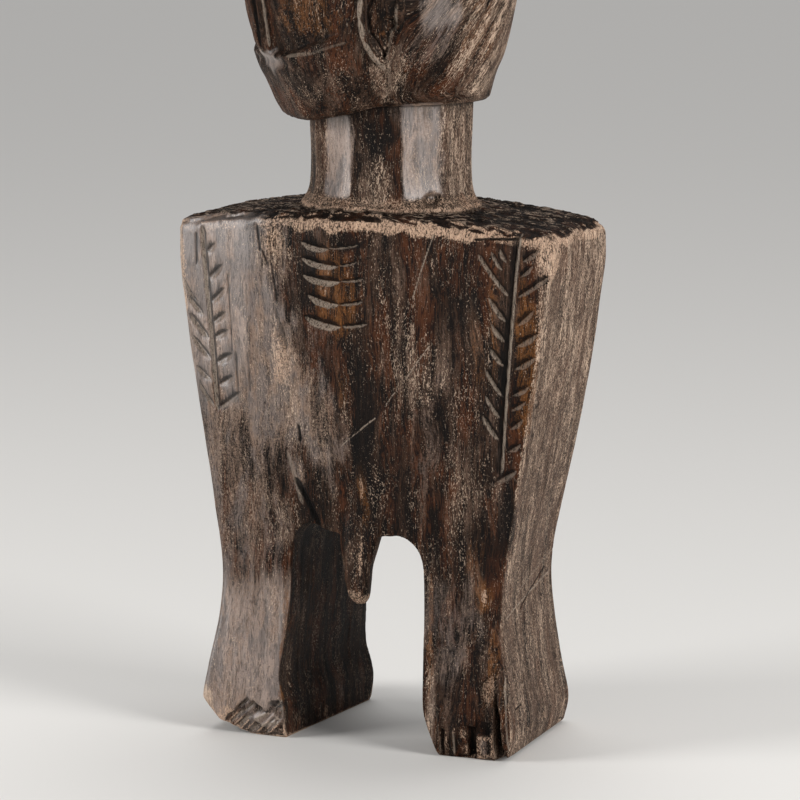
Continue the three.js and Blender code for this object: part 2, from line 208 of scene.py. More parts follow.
# Strokes on the chest. A feather is a stem, from its top to its foot, and strokes beside it. Each row:
# the height where the stroke leaves the stem, how far beside the stem's middle it starts, and how far it
# reaches and rises.
FEATHERS = (
    (
        ((56.9, 171.2), (50.6, 96.0)),
        (
            (164.2, 1.6, 5.2, 4.2), (159.3, 1.4, 4.4, 4.2), (152.9, 1.3, 9.4, 6.8), (143.5, 1.5, 5.8, 5.5),
            (136.6, 1.6, 7.3, 4.7), (129.2, 1.5, 7.4, 4.4), (120.6, 1.6, 6.1, 3.6), (115.7, 1.5, 5.4, 3.5),
            (109.5, 1.5, 5.0, 3.9), (102.1, 1.4, 5.0, 3.1), (92.0, -1.4, 7.2, 4.4),
            (163.7, -2.7, -2.5, 4.8), (161.2, -4.0, -3.7, 6.4), (153.2, -1.6, -9.6, 13.4),
            (144.6, -1.6, -5.6, 8.0), (138.1, -1.5, -4.5, 6.0), (130.0, -1.1, -4.8, 6.3),
            (120.1, -0.9, -5.6, 9.2), (113.1, -1.2, -4.8, 7.6), (105.7, -1.2, -5.2, 8.4),
        ),
    ),
    (
        ((-55.4, 169.2), (-51.0, 110.0)),
        (
            (161.5, 0.8, 4.2, 3.9), (152.7, 0.6, 6.4, 5.6), (144.8, 0.8, 6.5, 5.9), (138.0, 0.6, 6.4, 4.6),
            (133.1, 0.7, 6.7, 3.4), (124.7, 0.9, 7.2, 4.1), (117.3, 0.9, 6.8, 3.8),
            (109.0, -0.6, 10.4, 7.0), (144.3, -4.8, -6.4, 8.9), (140.5, -2.4, -6.5, 6.2),
            (132.6, -1.0, -8.0, 8.1), (125.9, -1.2, -7.6, 7.4), (118.5, -1.4, -6.5, 4.8),
            (110.0, -1.4, -6.0, 7.5),
        ),
    ),
)

# Chevrons below the neck. Each row: where the two strokes meet, their reach and rise to the right side of
# the body, and to the left side.
CHEVRONS = (
    (-4.6, 166.6, -11.1, 1.6, 10.2, 1.7),
    (-1.2, 161.1, -14.2, 1.8, 6.4, 1.7),
    (-0.6, 156.1, -14.5, 1.2, 8.1, 1.4),
    (-1.2, 148.4, -12.2, 2.6, 8.2, 1.6),
    (-0.7, 141.2, -14.1, 2.5, 9.2, 1.6),
)

# Cracks, gouges and scratches on the front. Each row: from x and z, to x and z, width, depth or, below
# zero, the height of a ridge, and how light its floor is, from 0 to 1. That lightness is pale cut wood with
# painted light where a lamp would catch the lower side, a ridge or an edge.
CUTS = (
    (-33.4, 173.0, -32.0, 163.5, 1.4, 0.6, 0.1), (-31.8, 165.0, -28.6, 158.5, 1.0, 0.5, 0.2),
    (-28.4, 169.5, -27.6, 162.0, 0.9, 0.5, 0.3), (-25.4, 171.0, -25.8, 164.5, 0.8, 0.5, 0.3),
    (-22.4, 168.5, -22.9, 158.5, 0.9, 0.5, 0.2), (-27.6, 160.5, -25.8, 147.0, 1.0, 0.4, 0.3),
    (-26.6, 146.0, -22.4, 131.0, 1.5, 0.45, 0.5), (-43.0, 129.5, -42.6, 112.0, 1.4, 0.4, 0.3),
    (-38.4, 130.0, -37.6, 116.0, 1.2, 0.4, 0.3), (-19.0, 107.5, -18.0, 101.0, 1.4, 1.1, 0.0),
    (-45.2, 155.0, -44.4, 129.5, 0.9, 0.3, 0.0), (-58.0, 168.5, -58.0, 157.0, 1.1, 0.4, 0.0),
    (42.5, 171.0, 57.4, 171.6, 1.3, 0.8, 0.0), (-20.6, 89.0, -12.2, 72.5, 2.4, 1.2, 0.0),
    (-23.4, 98.0, -18.4, 80.0, 2.4, -0.35, 0.55), (-2.3, 101.3, 4.2, 106.8, 0.8, 0.25, 1.0),
    (4.2, 106.8, 10.6, 112.0, 1.0, 0.3, 1.0), (13.3, 115.4, 17.4, 121.2, 0.8, 0.2, 1.0),
    (22.9, 151.0, 29.9, 172.3, 0.9, 0.2, 1.0), (20.1, 124.6, 28.5, 136.5, 0.9, 0.25, 1.0),
    (12.4, 249.0, 9.6, 242.5, 1.1, 1.0, 0.2), (9.7, 243.5, 9.9, 236.0, 1.1, 1.0, 0.2),
    (9.8, 237.0, 13.9, 227.5, 1.1, 0.9, 0.2), (9.2, 249.0, 7.8, 240.5, 2.6, -0.5, 0.8),
    (7.7, 241.5, 8.4, 233.5, 2.6, -0.5, 0.85), (8.3, 234.5, 12.6, 224.0, 2.3, -0.5, 0.75),
    (15.7, 238.0, 13.0, 218.0, 1.5, -0.5, 0.45), (17.6, 246.0, 16.6, 236.5, 1.6, -0.5, 0.6),
    (-32.2, 247.5, -31.4, 230.5, 1.8, 0.8, 0.0), (-28.8, 247.5, -27.8, 230.5, 1.7, -0.5, 0.7),
    (-18.4, 228.2, -7.0, 229.8, 1.8, -0.35, 0.55), (-8.0, 229.6, 4.0, 233.6, 1.5, -0.35, 0.45),
    (-36.8, 5.0, -30.4, 8.2, 1.5, -0.4, 0.9), (-36.4, 6.0, -34.0, 3.8, 1.4, -0.4, 0.8),
    (-34.4, 3.2, -27.2, 5.2, 1.6, -0.4, 0.9), (-29.6, 7.4, -25.6, 5.2, 1.2, -0.4, 0.8),
    (-27.2, 14.0, -25.2, 8.4, 1.1, -0.3, 0.8), (54.4, 42.0, 53.6, 23.0, 1.2, -0.15, 0.8),
    (53.7, 24.0, 55.4, 3.0, 1.1, -0.15, 0.7), (36.0, 9.6, 36.3, 1.0, 1.2, -0.15, 0.6),
    (25.8, 33.0, 30.0, 17.5, 0.9, -0.25, 0.5), (30.0, 18.0, 31.6, 1.0, 0.9, -0.25, 0.5),
)

# Scratches on the left side, each row as above but with y in the place of x.
SIDE_CUTS = (
    (-21.6, 46.0, 22.0, 53.5, 1.1, 0.3, 1.0), (-10.0, 52.5, 24.0, 60.5, 0.9, 0.2, 0.9),
    (-23.0, 41.5, 4.0, 47.0, 0.8, 0.2, 0.8), (-8.0, 46.5, 16.0, 56.0, 1.0, 0.3, 0.0),
    (-24.0, 16.2, -17.0, 16.8, 1.0, 0.3, 0.0), (2.0, 137.0, 22.0, 147.0, 0.8, 0.2, 1.0),
)

# Dents on the front. Each row: centre x and z, radii, depth.
DENTS = (
    (-22.6, 136.4, 2.6, 5.2, 1.1), (47.6, 22.2, 3.0, 6.4, 1.4), (-27.8, 11.4, 3.8, 1.6, 1.3),
    (21.6, 181.6, 2.2, 2.0, 1.4), (15.2, 239.4, 1.7, 2.4, 0.9), (-19.0, 118.0, 9.0, 16.0, 0.35),
)

# Marks in the colour, for each mask. Each row: centre, radii and strength.
MARKS = {
    # Grey bloom and painted sheen where the soft boxes would shine. The row at height 226.2 is a painted
    # highlight on the lit facet below the mouth.
    "bloom_and_sheen": (
        ((35, -29, 42), (12, 8, 20), 0.42), ((28, -25, 243), (8, 9, 6), 0.85),
        ((26, -26, 231), (10, 9, 8), 0.42), ((-28, -32, 226.2), (14, 15, 4.6), 1.0),
        ((28, -33, 108), (11, 6, 18), 0.28), ((-28, -34, 119), (18, 8, 34), 1.0),
        ((-13, -36, 112), (11, 8, 30), 0.62), ((-40, -27, 78), (14, 8, 16), 0.4),
        ((28, -29, 14), (2.6, 5, 11), 0.6), ((46.6, -31, 4.2), (2.2, 4, 3.8), 0.55),
        ((-31.4, -30, 6.0), (6.0, 5, 2.8), 1.3),
    ),
    "tawny": (
        ((-22, -34, 114), (20, 10, 34), 1.0), ((-44, -27, 88), (20, 12, 26), 0.9),
    ),
    "dusty": (
        ((-21, -34, 118), (16, 8, 28), 0.6), ((-26, -34, 164), (9, 7, 9), 0.8),
        ((26, -34, 128), (12, 8, 20), 0.45), ((-34, -30, 74), (12, 8, 14), 0.55),
        ((6.7, -26, 186), (9, 8, 7), 0.9), ((-13, -38, 218), (14, 10, 6), 0.5),
        ((13, -33, 222), (6, 8, 12), 0.7), ((40, -27, 92), (7, 6, 14), 0.4),
        ((-54.3, -30, 11), (3, 5, 4.2), 3.0), ((27.5, -28, 14), (3, 6, 12), 1.7),
    ),
    "warm": (
        ((53, -29, 14), (1.6, 5, 13), 0.5), ((47.6, -29, 22), (3, 5, 6), 0.5),
        ((59.4, -26, 132), (4.2, 5, 40), 1.0), ((46, -28, 140), (7, 5, 24), 0.45),
        ((-2, -38, 152), (12, 7, 15), 0.85), ((0, -36, 122), (12, 7, 12), 0.45),
        ((5, -33, 86), (2.4, 5, 11), 0.9), ((45, -27, 54), (4.6, 5, 6), 0.9),
        ((49, -28, 36), (2.4, 5, 11), 0.75), ((43, -28, 66), (6, 5, 8), 0.5),
        ((-10, -42, 243), (14, 10, 11), 0.7), ((37, -13, 236), (6, 12, 14), 0.6),
        ((14, -38, 238), (4.5, 6, 6), 0.7), ((-25.6, -30, 36), (1.6, 4, 30), 0.9),
        ((27, -30, 38), (1.4, 4, 30), 0.7),
    ),
    # Black stains, and painted shade in places: on the neck's front at heights 192 and 203, where no soft
    # box shines; in the recesses, gaps and split of the left foot; in the groove of the right foot at
    # height 11.6; and, in part, in the dark band right of the chest's keel.
    "soot_and_shade": (
        ((-27.8, -30, 11.6), (3.4, 5, 1.3), 0.9), ((46.8, -30, 11.4), (3.2, 5, 3.0), 1.0),
        ((42.5, -31, 5), (1.6, 5, 6.5), 1.0), ((39.4, -31, 2.4), (2.0, 4, 2.6), 0.7),
        ((6, -36, 112), (4.5, 8, 32), 1.0), ((37, -32, 156), (13, 8, 17), 0.6),
        ((-21, -36, 168.5), (5, 5, 4), 1.0), ((5, -38, 169), (6, 5, 4), 1.0),
        ((54, -26, 78), (4, 6, 14), 1.0), ((48, -27, 65), (5, 6, 9), 0.8), ((15, -33, 94), (8, 7, 22), 0.6),
        ((-17, -33, 79), (5, 7, 8), 0.8), ((7, -26, 203), (8, 7, 6), 1.0), ((7, -26, 192), (8, 7, 6), 0.6),
        ((-14, -38, 221), (10, 12, 4), 0.7), ((13, -37, 239), (2.4, 4, 4), 1.0),
        ((51.6, -25, 12), (1.8, 5, 14), 1.0),
    ),
    "tan": (
        ((-24.5, -34, 126), (4.6, 7, 12), 0.75), ((4.4, -33, 87), (0.9, 4, 6), 0.75),
        ((-25, -34, 167), (8, 6, 6), 0.8), ((47.2, -29, 23), (3.2, 5, 5.2), 0.72),
        ((-54.3, -30, 11), (3, 5, 4.2), 1.0), ((45, -27, 53.5), (1.3, 4, 2.6), 1.0),
        ((65, -24, 168), (5, 12, 11), 1.0), ((63.6, -25, 140), (1.6, 4, 36), 0.6),
        ((-65, -22, 160), (3.4, 9, 22), 0.9), ((3, -33, 51), (6, 7, 3.6), 0.7),
        ((-2.2, -31, 60), (1.3, 5, 9), 0.7), ((4.5, -34.5, 66), (1.2, 3, 9), 0.7),
        ((39.2, -31, 8), (2.0, 4, 2.4), 0.7), ((49.5, -30.5, 9), (0.7, 4, 8), 0.6),
    ),
}

# The vertex group that keeps carved places from thinning, and its weight.
KEPT = "keep"
KEPT_WEIGHT = 0.85

# Height of the wood's fine grain in the shader, in metres.
GRAIN_HEIGHT = 0.0008

# What the camera looks at, in millimetres from the neck's axis. The rest of the studio is in metres.
CAMERA_TARGET = (2.7, 1.2, 111.5)
FLOOR_HALF = 8.0

# The soft boxes: name, angle round from the front, angle up from the lit height, distance and power.
LIT_HEIGHT = 0.15
BOX_WIDTH = 0.5
BOX_HEIGHT = 0.9
SOFT_BOXES = (
    ("left_box", math.radians(-52), math.radians(14), 1.3, 15.0),
    ("right_box", math.radians(78), math.radians(16), 1.3, 17.0),
)

# The sun's power, how wide it is in the sky, its angle round from the front and its angle up.
SUN_POWER = 1.35
SUN_WIDTH = math.radians(50)
SUN_AZIMUTH = math.radians(190)
SUN_ELEVATION = math.radians(64)

ROOM_COLOUR = (0.80, 0.82, 0.85)
ROOM_STRENGTH = 0.22


def ranged(name, description, default, low, high, **more):
    """A number property with its limits."""
    limits = {"default": default, "min": low, "max": high}
    return bpy.props.FloatProperty(name=name, description=description, **limits, **more)


def colour(name, description, default):
    """A colour property."""
    return bpy.props.FloatVectorProperty(
        name=name, description=description, default=default, subtype="COLOR", size=3, min=0.0, max=1.0
    )


class FigureSizes(bpy.types.PropertyGroup):
    """Sizes of the carving, in millimetres unless said otherwise."""

    cell: ranged("Mesh cell", "Edge of one cell when the shapes are melted into one", 0.46, 0.3, 2.0)
    faces: bpy.props.IntProperty(name="Triangles", description="In the finished mesh", default=192000)
    stroke_width: ranged("Stroke width", "Width of a carved stroke", 2.9, 0.5, 4.0)
    stroke_depth: ranged("Stroke depth", "Depth of a carved stroke", 0.85, 0.1, 3.0)
    notch_width: ranged("Chevron width", "Width of a chevron's right stroke", 3.6, 0.5, 5.0)
    notch_depth: ranged("Chevron depth", "Depth of a chevron's right stroke", 1.5, 0.1, 3.0)
    facet_depth: ranged("Facet depth", "Height of the ridges between knife facets", 0.26, 0.0, 2.0)
    fibre_depth: ranged("Fibre depth", "Height of the ridges along the grain", 0.10, 0.0, 1.0)
    chisel_depth: ranged("Chisel depth", "Height of the chisel marks on the shoulders' top", 0.5, 0.0, 2.0)
    warp: ranged("Warp", "How far the hand-cut faces wander from flat", 0.25, 0.0, 3.0)


class WoodLook(bpy.types.PropertyGroup):
    """Colours of the wood."""

    dark: colour("Dark wood", "The deepest brown of the body", (0.0045, 0.0028, 0.0020))
    brown: colour("Brown wood", "The common brown of the body", (0.040, 0.020, 0.0115))
    russet: colour("Russet wood", "Redder streaks in the brown", (0.085, 0.027, 0.010))
    film: colour("Film", "A thin grey brown film in the grain", (0.127, 0.078, 0.054))
    # The grey of the bloom also stands for painted sheen where the soft boxes would shine.
    grey: colour("Grey wood", "Where handling has left a grey bloom", (0.365, 0.273, 0.225))
    slate: colour("Slate wood", "Darker and cooler patches in the bloom", (0.150, 0.120, 0.108))
    tawny: colour("Tawny wood", "Browner patches in the bloom", (0.258, 0.168, 0.117))
    warm: colour("Warm wood", "Orange brown where the surface has rubbed through", (0.160, 0.062, 0.017))
    pale: colour("Pale wood", "Bare wood on worn edges", (0.590, 0.400, 0.280))
    # Cream dust, made light enough to stand for glints as well.
    dust_and_glint: colour("Dust", "Cream dust in the pores", (0.580, 0.430, 0.318))
    # Pale cut wood. It also stands for painted light on the lower sides of the cuts and on ridges.
    chip_and_light: colour("Cut wood", "The floor of a carved stroke", (0.350, 0.282, 0.222))
    # Black of the stains. It is also used for the painted shade on the walls of the cuts, in deep set-backs
    # and in hollows.
    soot_and_shade: colour("Soot", "Black stains", (0.004, 0.0032, 0.0028))


class StudioSet(bpy.types.PropertyGroup):
    """Camera, floor and lights. Lengths are in metres."""

    azimuth: ranged("Azimuth", "Camera's angle sideways", math.radians(24), -3.2, 3.2, subtype="ANGLE")
    elevation: ranged("Elevation", "Camera's angle up", math.radians(9.57), -1.5, 1.5, subtype="ANGLE")
    distance: ranged("Distance", "From the camera to its target", 1.2853, 0.1, 10.0, unit="LENGTH")
    lens: ranged("Lens", "Focal length in millimetres on a 36 mm sensor", 173.52, 10.0, 500.0)
    floor: colour("Floor", "Colour of the plain floor", (0.72, 0.70, 0.67))


def smooth(low, high, value):
    """0 below low, 1 above high, and 3t^2 - 2t^3 between them."""
    t = np.clip((value - low) / (high - low), 0.0, 1.0)
    return t * t * (3.0 - 2.0 * t)


def row_at(table, heights):
    """Reads a table's columns at the heights, along cubic Hermite spans whose slope at a row is that
    between the rows beside it."""
    rows = np.asarray(table, float)
    z = rows[:, 0]
    i = np.clip(np.searchsorted(z, heights, side="left") - 1, 0, len(z) - 2)
    low = np.maximum(i - 1, 0)
    high = np.minimum(i + 2, len(z) - 1)
    span = (z[i + 1] - z[i])[..., None]
    t = np.clip((heights - z[i])[..., None] / span, 0.0, 1.0)
    leaving = (rows[i + 1] - rows[low]) / (z[i + 1] - z[low])[..., None] * span
    arriving = (rows[high] - rows[i]) / (z[high] - z[i])[..., None] * span
    value = rows[i] * (2 * t**3 - 3 * t**2 + 1) + leaving * (t**3 - 2 * t**2 + t)
    value = value + rows[i + 1] * (3 * t**2 - 2 * t**3) + arriving * (t**3 - t**2)
    return np.moveaxis(value[..., 1:], -1, 0)


def unit(vectors):
    """Vectors at length one."""
    return vectors / np.maximum(np.linalg.norm(vectors, axis=-1, keepdims=True), 1e-12)


def hashed(cell, seed):
    """A scrambled number of 32 bits for each whole-number point."""
    x, y, z = cell.T
    mixed = x * 73856093 ^ y * 19349663 ^ z * 83492791 ^ seed * 668265263
    for shift, factor in ((13, 1274126177), (15, 2246822519)):
        mixed = ((mixed ^ (mixed >> shift)) * factor) & 0xFFFFFFFF
    return mixed


def lattice_noise(points, seed):
    """A smooth random field from -1 to 1: a hashed value at each whole-number point, blended between the
    points by 6t^5 - 15t^4 + 10t^3."""
    cell = np.floor(points).astype(np.int64)
    t = points - cell
    t = t * t * t * (t * (t * 6.0 - 15.0) + 10.0)
    total = np.zeros(len(points))
    for corner in np.ndindex(2, 2, 2):
        mixed = hashed(cell + np.array(corner), seed)
        value = ((mixed ^ (mixed >> 13)) & 0xFFFF) / 32767.5 - 1.0
        share = np.where(np.array(corner) == 1, t, 1.0 - t).prod(axis=1)
        total += share * value
    return total


def stretched_noise(points, across, deep, up, seed):
    """Lattice noise with its own rate along each axis."""
    return lattice_noise(points * np.array([across, deep, up]), seed)


def layered_noise(points, octaves, seed):
    """Sums lattice noise at doubled rates and halved heights."""
    return sum(lattice_noise(points * 2**k, seed + k) * 0.5**k for k in range(octaves))


def cell_borders(points, seed):
    """0 at the middle of each random cell and rising with the square of the distance to it, so that cells
    read as shallow scoops. One jittered seed point stands in each unit cube."""
    base = np.floor(points).astype(np.int64)
    nearest = np.full(len(points), 9.0)
    for offset in np.ndindex(3, 3, 3):
        cell = base + np.array(offset) - 1
        mixed = hashed(cell, seed)
        jitter = np.stack([mixed & 0x3FF, (mixed >> 10) & 0x3FF, (mixed >> 20) & 0x3FF], 1) / 1023.0
        gap = points - (cell + 0.15 + 0.7 * jitter)
        nearest = np.minimum(nearest, (gap * gap).sum(axis=1))
    return nearest


def full_turn(count):
    """Even angles once round."""
    return np.linspace(0.0, 2 * math.pi, count, endpoint=False)


def grid(*parts):
    """Points from three coordinates that are spread over one grid."""
    return np.stack(np.broadcast_arrays(*parts), -1)


def closed_mesh(name, rings, looped=False):
    """A mesh object through rings of points, shaped (ring, point, 3) in millimetres. The first and last
    ring are each closed by a fan to their middle or, where the rings run in a loop, joined to one
    another."""
    count, around = rings.shape[:2]
    i = np.arange(around)
    j = (i + 1) % around
    low = (np.arange(count if looped else count - 1) * around)[:, None]
    high = (low + around) % (count * around)
    faces = np.stack([low + i, low + j, high + j, high + i], -1).reshape(-1, 4).tolist()
    points = rings.reshape(-1, 3)
    if not looped:
        points = np.concatenate([points, rings[[0, -1]].mean(axis=1)])
        last = (count - 1) * around
        faces += np.stack([np.full(around, count * around), j, i], 1).tolist()
        faces += np.stack([np.full(around, count * around + 1), last + i, last + j], 1).tolist()
    mesh = bpy.data.meshes.new(name)
    mesh.from_pydata(points * MM, [], faces)
    made = bpy.data.objects.new(name, mesh)
    bpy.context.scene.collection.objects.link(made)
    return made


def shoulder_fall(x, z):
    """The top of the slab falls towards its ends with the square of x; the fall fades out down the
    chest."""
    return SHOULDER_DROP * (x / SHOULDER_HALF_WIDTH) ** 2 * smooth(140.0, SHOULDER_TOP, z)


def slab_rings(heights, insets, arc_steps=10, edge_steps=24):
    """Level outlines of slab and legs: a six-cornered lens, each corner turned by a quadratic curve
    between the points where its rounding starts and ends."""
    front, rear, front_depth, rear_depth, keel, spine, keel_x = row_at(OUTLINE, heights)
    front_y, rear_y = insets - front_depth, rear_depth - insets
    across = [keel_x, front - insets, rear - insets, 0 * rear, insets - rear, insets - front]
    along = [insets - keel, front_y, rear_y, spine - insets, rear_y, front_y]
    corners = grid(np.stack(across, -1), np.stack(along, -1))
    c = CORNER_ROUNDING
    rounding = np.array([KEEL_ROUNDING, c, c, SPINE_ROUNDING, c, c])[None, :, None]
    enter = corners + unit(np.roll(corners, 1, axis=1) - corners) * rounding
    leave = corners + unit(np.roll(corners, -1, axis=1) - corners) * rounding
    t = np.linspace(0.0, 1.0, arc_steps)[None, None, :, None]
    bent = 2 * t * (1 - t) * corners[:, :, None]
    arc = (1 - t) ** 2 * enter[:, :, None] + bent + t**2 * leave[:, :, None]
    s = np.linspace(0.0, 1.0, edge_steps + 1)[None, None, 1:-1, None]
    edge = leave[:, :, None] * (1 - s) + np.roll(enter, -1, axis=1)[:, :, None] * s
    outline = np.concatenate([arc, edge], axis=2).reshape(len(heights), -1, 2)
    return grid(outline[..., 0], outline[..., 1], heights[:, None])


def slab():
    """The slab and legs without the arch: level outlines with a rounded sole and rim, and a domed lid."""
    rim_start = SHOULDER_TOP - RIM_RADIUS
    turn = np.linspace(0.0, math.pi / 2, 9)
    walls = np.linspace(3.0, rim_start - 1.5, 90)
    heights = np.concatenate([[0.0, SOLE_RADIUS], walls, rim_start + RIM_RADIUS * np.sin(turn)])
    insets = np.concatenate([[SOLE_RADIUS, 0.0], 0.0 * walls, RIM_RADIUS * (1 - np.cos(turn))])
    rings = slab_rings(heights, insets)
    shares = np.linspace(0.95, 0.05, 19)[:, None, None]
    lid = rings[-1][None] * np.concatenate([shares, shares, np.ones_like(shares)], -1)
    rings = np.concatenate([rings, lid])
    rings[..., 2] -= shoulder_fall(rings[..., 0], rings[..., 2])
    return closed_mesh("slab", rings)


def arch():
    """The opening between the legs: its outline is a chord-length spline through the arch's points, and
    its width shrinks evenly towards the back. It stands out past both faces of the slab."""
    points = np.asarray(ARCH, float)
    chords = np.linalg.norm(np.diff(points, axis=0), axis=1) ** 0.5
    step = np.concatenate([[0.0], np.cumsum(chords)])
    x, z = row_at(np.column_stack([step, points]), np.linspace(0.0, step[-1], 140))
    y = np.array([ARCH_BACK + ARCH_PAST, ARCH_BACK, 0.0, ARCH_FRONT, ARCH_FRONT - ARCH_PAST])[:, None]
    back = np.clip((y - ARCH_FRONT) / (ARCH_BACK - ARCH_FRONT), 0.0, 1.0)
    share = 1.0 - (1.0 - ARCH_BACK_SHARE) * back
    return closed_mesh("arch", grid(x * share, y, z))


def neck():
    """A column whose outline is mostly a polygon with flat strips, and a little of a circle."""
    heights = np.linspace(NECK[0][0], NECK[-1][0], 60)
    angle = full_turn(240)
    (radius,) = row_at(NECK, heights)
    strip = 2 * math.pi / NECK_FACETS
    off = np.mod(angle - NECK_PHASE, strip) - strip / 2
    polygon = math.cos(strip / 2) / np.cos(off)
    r = radius[:, None] * (1.0 - NECK_FLATNESS + NECK_FLATNESS * (polygon + 0.02))
    return closed_mesh("neck", grid(r * np.cos(angle), r * np.sin(angle), heights[:, None]))


def peg():
    """The peg below the belly: level superellipses that taper to a blunt tip."""
    heights = np.linspace(PEG[0][0], PEG[-1][0], 50)
    x, y, width, depth = (column[:, None] for column in row_at(PEG, heights))
    angle = full_turn(48)
    c, s = np.cos(angle), np.sin(angle)
    r = (np.abs(c) ** PEG_SQUARENESS + np.abs(s) ** PEG_SQUARENESS) ** (-1.0 / PEG_SQUARENESS)
    return closed_mesh("peg", grid(x + width * r * c, y + depth * r * s, heights[:, None]))


def split():
    """What the split in the foot takes away: level ellipses, thin across and long in depth, that close at
    the split's top. Their middle and width waver with the sine of the height."""
    heights = np.linspace(-3.0, SPLIT_TOP, 60)
    share = np.clip((SPLIT_TOP - heights) / SPLIT_TOP, 0.0, 1.0) ** 0.7
    half = 0.05 + SPLIT_HALF_WIDTH * share + 0.12 * np.sin(heights * 0.9) * share
    middle = SPLIT_MIDDLE + 0.9 * half + 0.2 * np.sin(heights * 0.55)
    angle = full_turn(40)
    x = middle[:, None] + half[:, None] * np.cos(angle)
    y = SPLIT_FRONT + (7.0 + 6.0 * share)[:, None] * np.sin(angle)
    return closed_mesh("split", grid(x, y, heights[:, None]))


def face_recess(angle, z):
    """Depth of the hollow between nose and temple; its lower edge climbs towards the ear."""
    side = np.abs(angle)
    across = smooth(0.06, 0.2, side) * (1.0 - smooth(0.74, 1.02, side))
    curl = 6.5 * smooth(0.35, 1.05, side)
    below, above = FACE_FLOOR + curl, FACE_FLOOR + 2.4 + curl
    return FACE_RECESS * across * smooth(below, above, z) * (1.0 - smooth(BROW, BROW + 10.0, z))


def mouth_groove(angle, z):
    """A level groove across the front of the jaw, right under the hollow: a bell curve over the
    height."""
    bell = np.exp(-(((z - MOUTH_HEIGHT) / 1.3) ** 2))
    return MOUTH_DEPTH * bell * (1.0 - smooth(0.3, 0.5, np.abs(angle)))


def head_point(angle, z):
    """A point of the head in its own frame, facing -Y: a superellipse around the height's centre, less
    the hollow and the mouth. The chin hangs lower, by a ramp that starts softly some way in front of the
    neck's axis."""
    length, width, forward = row_at(HEAD, z)
    c, s = np.cos(angle), np.sin(angle)
    power = HEAD_SQUARENESS
    plain = (np.abs(c / length) ** power + np.abs(s / width) ** power) ** (-1.0 / power)
    r = plain - face_recess(angle, z) - mouth_groove(angle, z)
    u = forward + r * c
    ahead = u - CHIN_START
    ramp = np.minimum(0.5 * (ahead + np.sqrt(ahead**2 + 16.0)) / CHIN_RAMP, 1.05)
    drop = CHIN_DROP * ramp * (1.0 - smooth(214.0, 233.0, z))
    return np.stack([r * s, -u, z - drop], -1)


def head():
    """The head's closed surface over angle and height, with a shallow bevel round its underside."""
    crown = 302.0 + 3.0 * np.sin(np.linspace(0.1, 1.57, 8))
    heights = np.concatenate([np.linspace(HEAD[0][0], 302.0, 170), crown])
    angle = np.linspace(-math.pi, math.pi, 360, endpoint=False)
    rings = head_point(*np.broadcast_arrays(angle[None, :], heights[:, None]))
    under = rings[:1] * np.array([0.95, 0.95, 1.0]) - np.array([0.0, 0.0, 1.3])
    return closed_mesh("head", np.concatenate([under, rings]))


def nose():
    """A long narrow bar that stands in the hollow, widest at its tip: rounded rectangles stacked up the
    face."""
    heights = np.linspace(NOSE[0][0], NOSE[-1][0], 60)
    half, proud = row_at(NOSE, heights)
    length, _, forward = row_at(HEAD, heights)
    back = -(forward + length - 9.0)[:, None]
    front = -(forward + length - 2.6 + proud * 0.7)[:, None]
    angle = full_turn(40)
    c, s = np.cos(angle), np.sin(angle)
    x = np.sign(c) * np.abs(c) ** 0.5 * half[:, None]
    y = (front + back) / 2 + np.sign(s) * np.abs(s) ** 0.5 * (back - front) / 2
    return closed_mesh("nose", grid(x, y, heights[:, None]))


def face_frame(angle, z):
    """Place, across, up and outward directions on the head's surface, by differences of neighbouring
    points."""
    angles = np.array([angle, angle - 0.02, angle + 0.02, angle, angle])
    heights = np.array([z, z, z, z - 1.0, z + 1.0])
    points = head_point(angles, heights)
    across = unit(points[2] - points[1])
    up = unit(points[4] - points[3])
    return points[0], across, up, unit(np.cross(across, up))


def ear(side):
    """A raised oval ring: a small ellipse carried round a larger one that lies on the head. It is high
    and crisp towards the face and low towards the nape."""
    at, across, up, out = face_frame(side * EAR_ANGLE, EAR_HEIGHT)
    a = full_turn(80)[:, None, None]
    b = full_turn(16)[None, :, None]
    proud = 1.2 + 1.3 * (0.5 - 0.5 * side * np.cos(a))
    radial = unit(across * EAR_HALF_HEIGHT * np.cos(a) + up * EAR_HALF_WIDTH * np.sin(a))
    centre = at + across * EAR_HALF_WIDTH * np.cos(a) + up * EAR_HALF_HEIGHT * np.sin(a) - out * 0.4
    return closed_mesh("ear", centre + radial * EAR_RIM * np.cos(b) + out * proud * np.sin(b), looped=True)


def eye(side):
    """A low almond on the face: an ellipse pinched at both ends, domed outwards."""
    at, across, up, out = face_frame(side * EYE_ANGLE, EYE_HEIGHT)
    u = np.linspace(0.02, 0.98, 24)[:, None, None]
    v = full_turn(24)[None, :, None]
    swell = np.sin(math.pi * u) ** 0.8
    lid = up * EYE_HALF_HEIGHT * np.cos(v) + out * EYE_PROUD * np.sin(v)
    return closed_mesh("eye", at + across * (u - 0.5) * EYE_WIDTH + lid * swell)


def turned(obj, angle):
    """Turns a mesh about the neck's axis."""
    c, s = math.cos(angle), math.sin(angle)
    write_points(obj.data, read_points(obj.data) @ np.array([[c, s, 0], [-s, c, 0], [0, 0, 1]]))
    return obj


def rows_of(items, name, width, kind=np.float32):
    """One property of all items, as an array with a row for each."""
    values = np.empty(len(items) * width, kind)
    items.foreach_get(name, values)
    return values.reshape(-1, width)


def read_points(mesh):
    """The mesh's vertices as an array."""
    return rows_of(mesh.vertices, "co", 3).astype(float)


def write_points(mesh, points):
    """Puts the vertices in their new places."""
    mesh.vertices.foreach_set("co", points.astype(np.float32).ravel())
    mesh.update()


def read_normals(mesh):
    """The mesh's vertex normals as an array."""
    return rows_of(mesh.vertex_normals, "vector", 3).astype(float)


def read_edges(mesh):
    """The mesh's edges as an array of vertex pairs."""
    return rows_of(mesh.edges, "vertices", 2, np.int32)


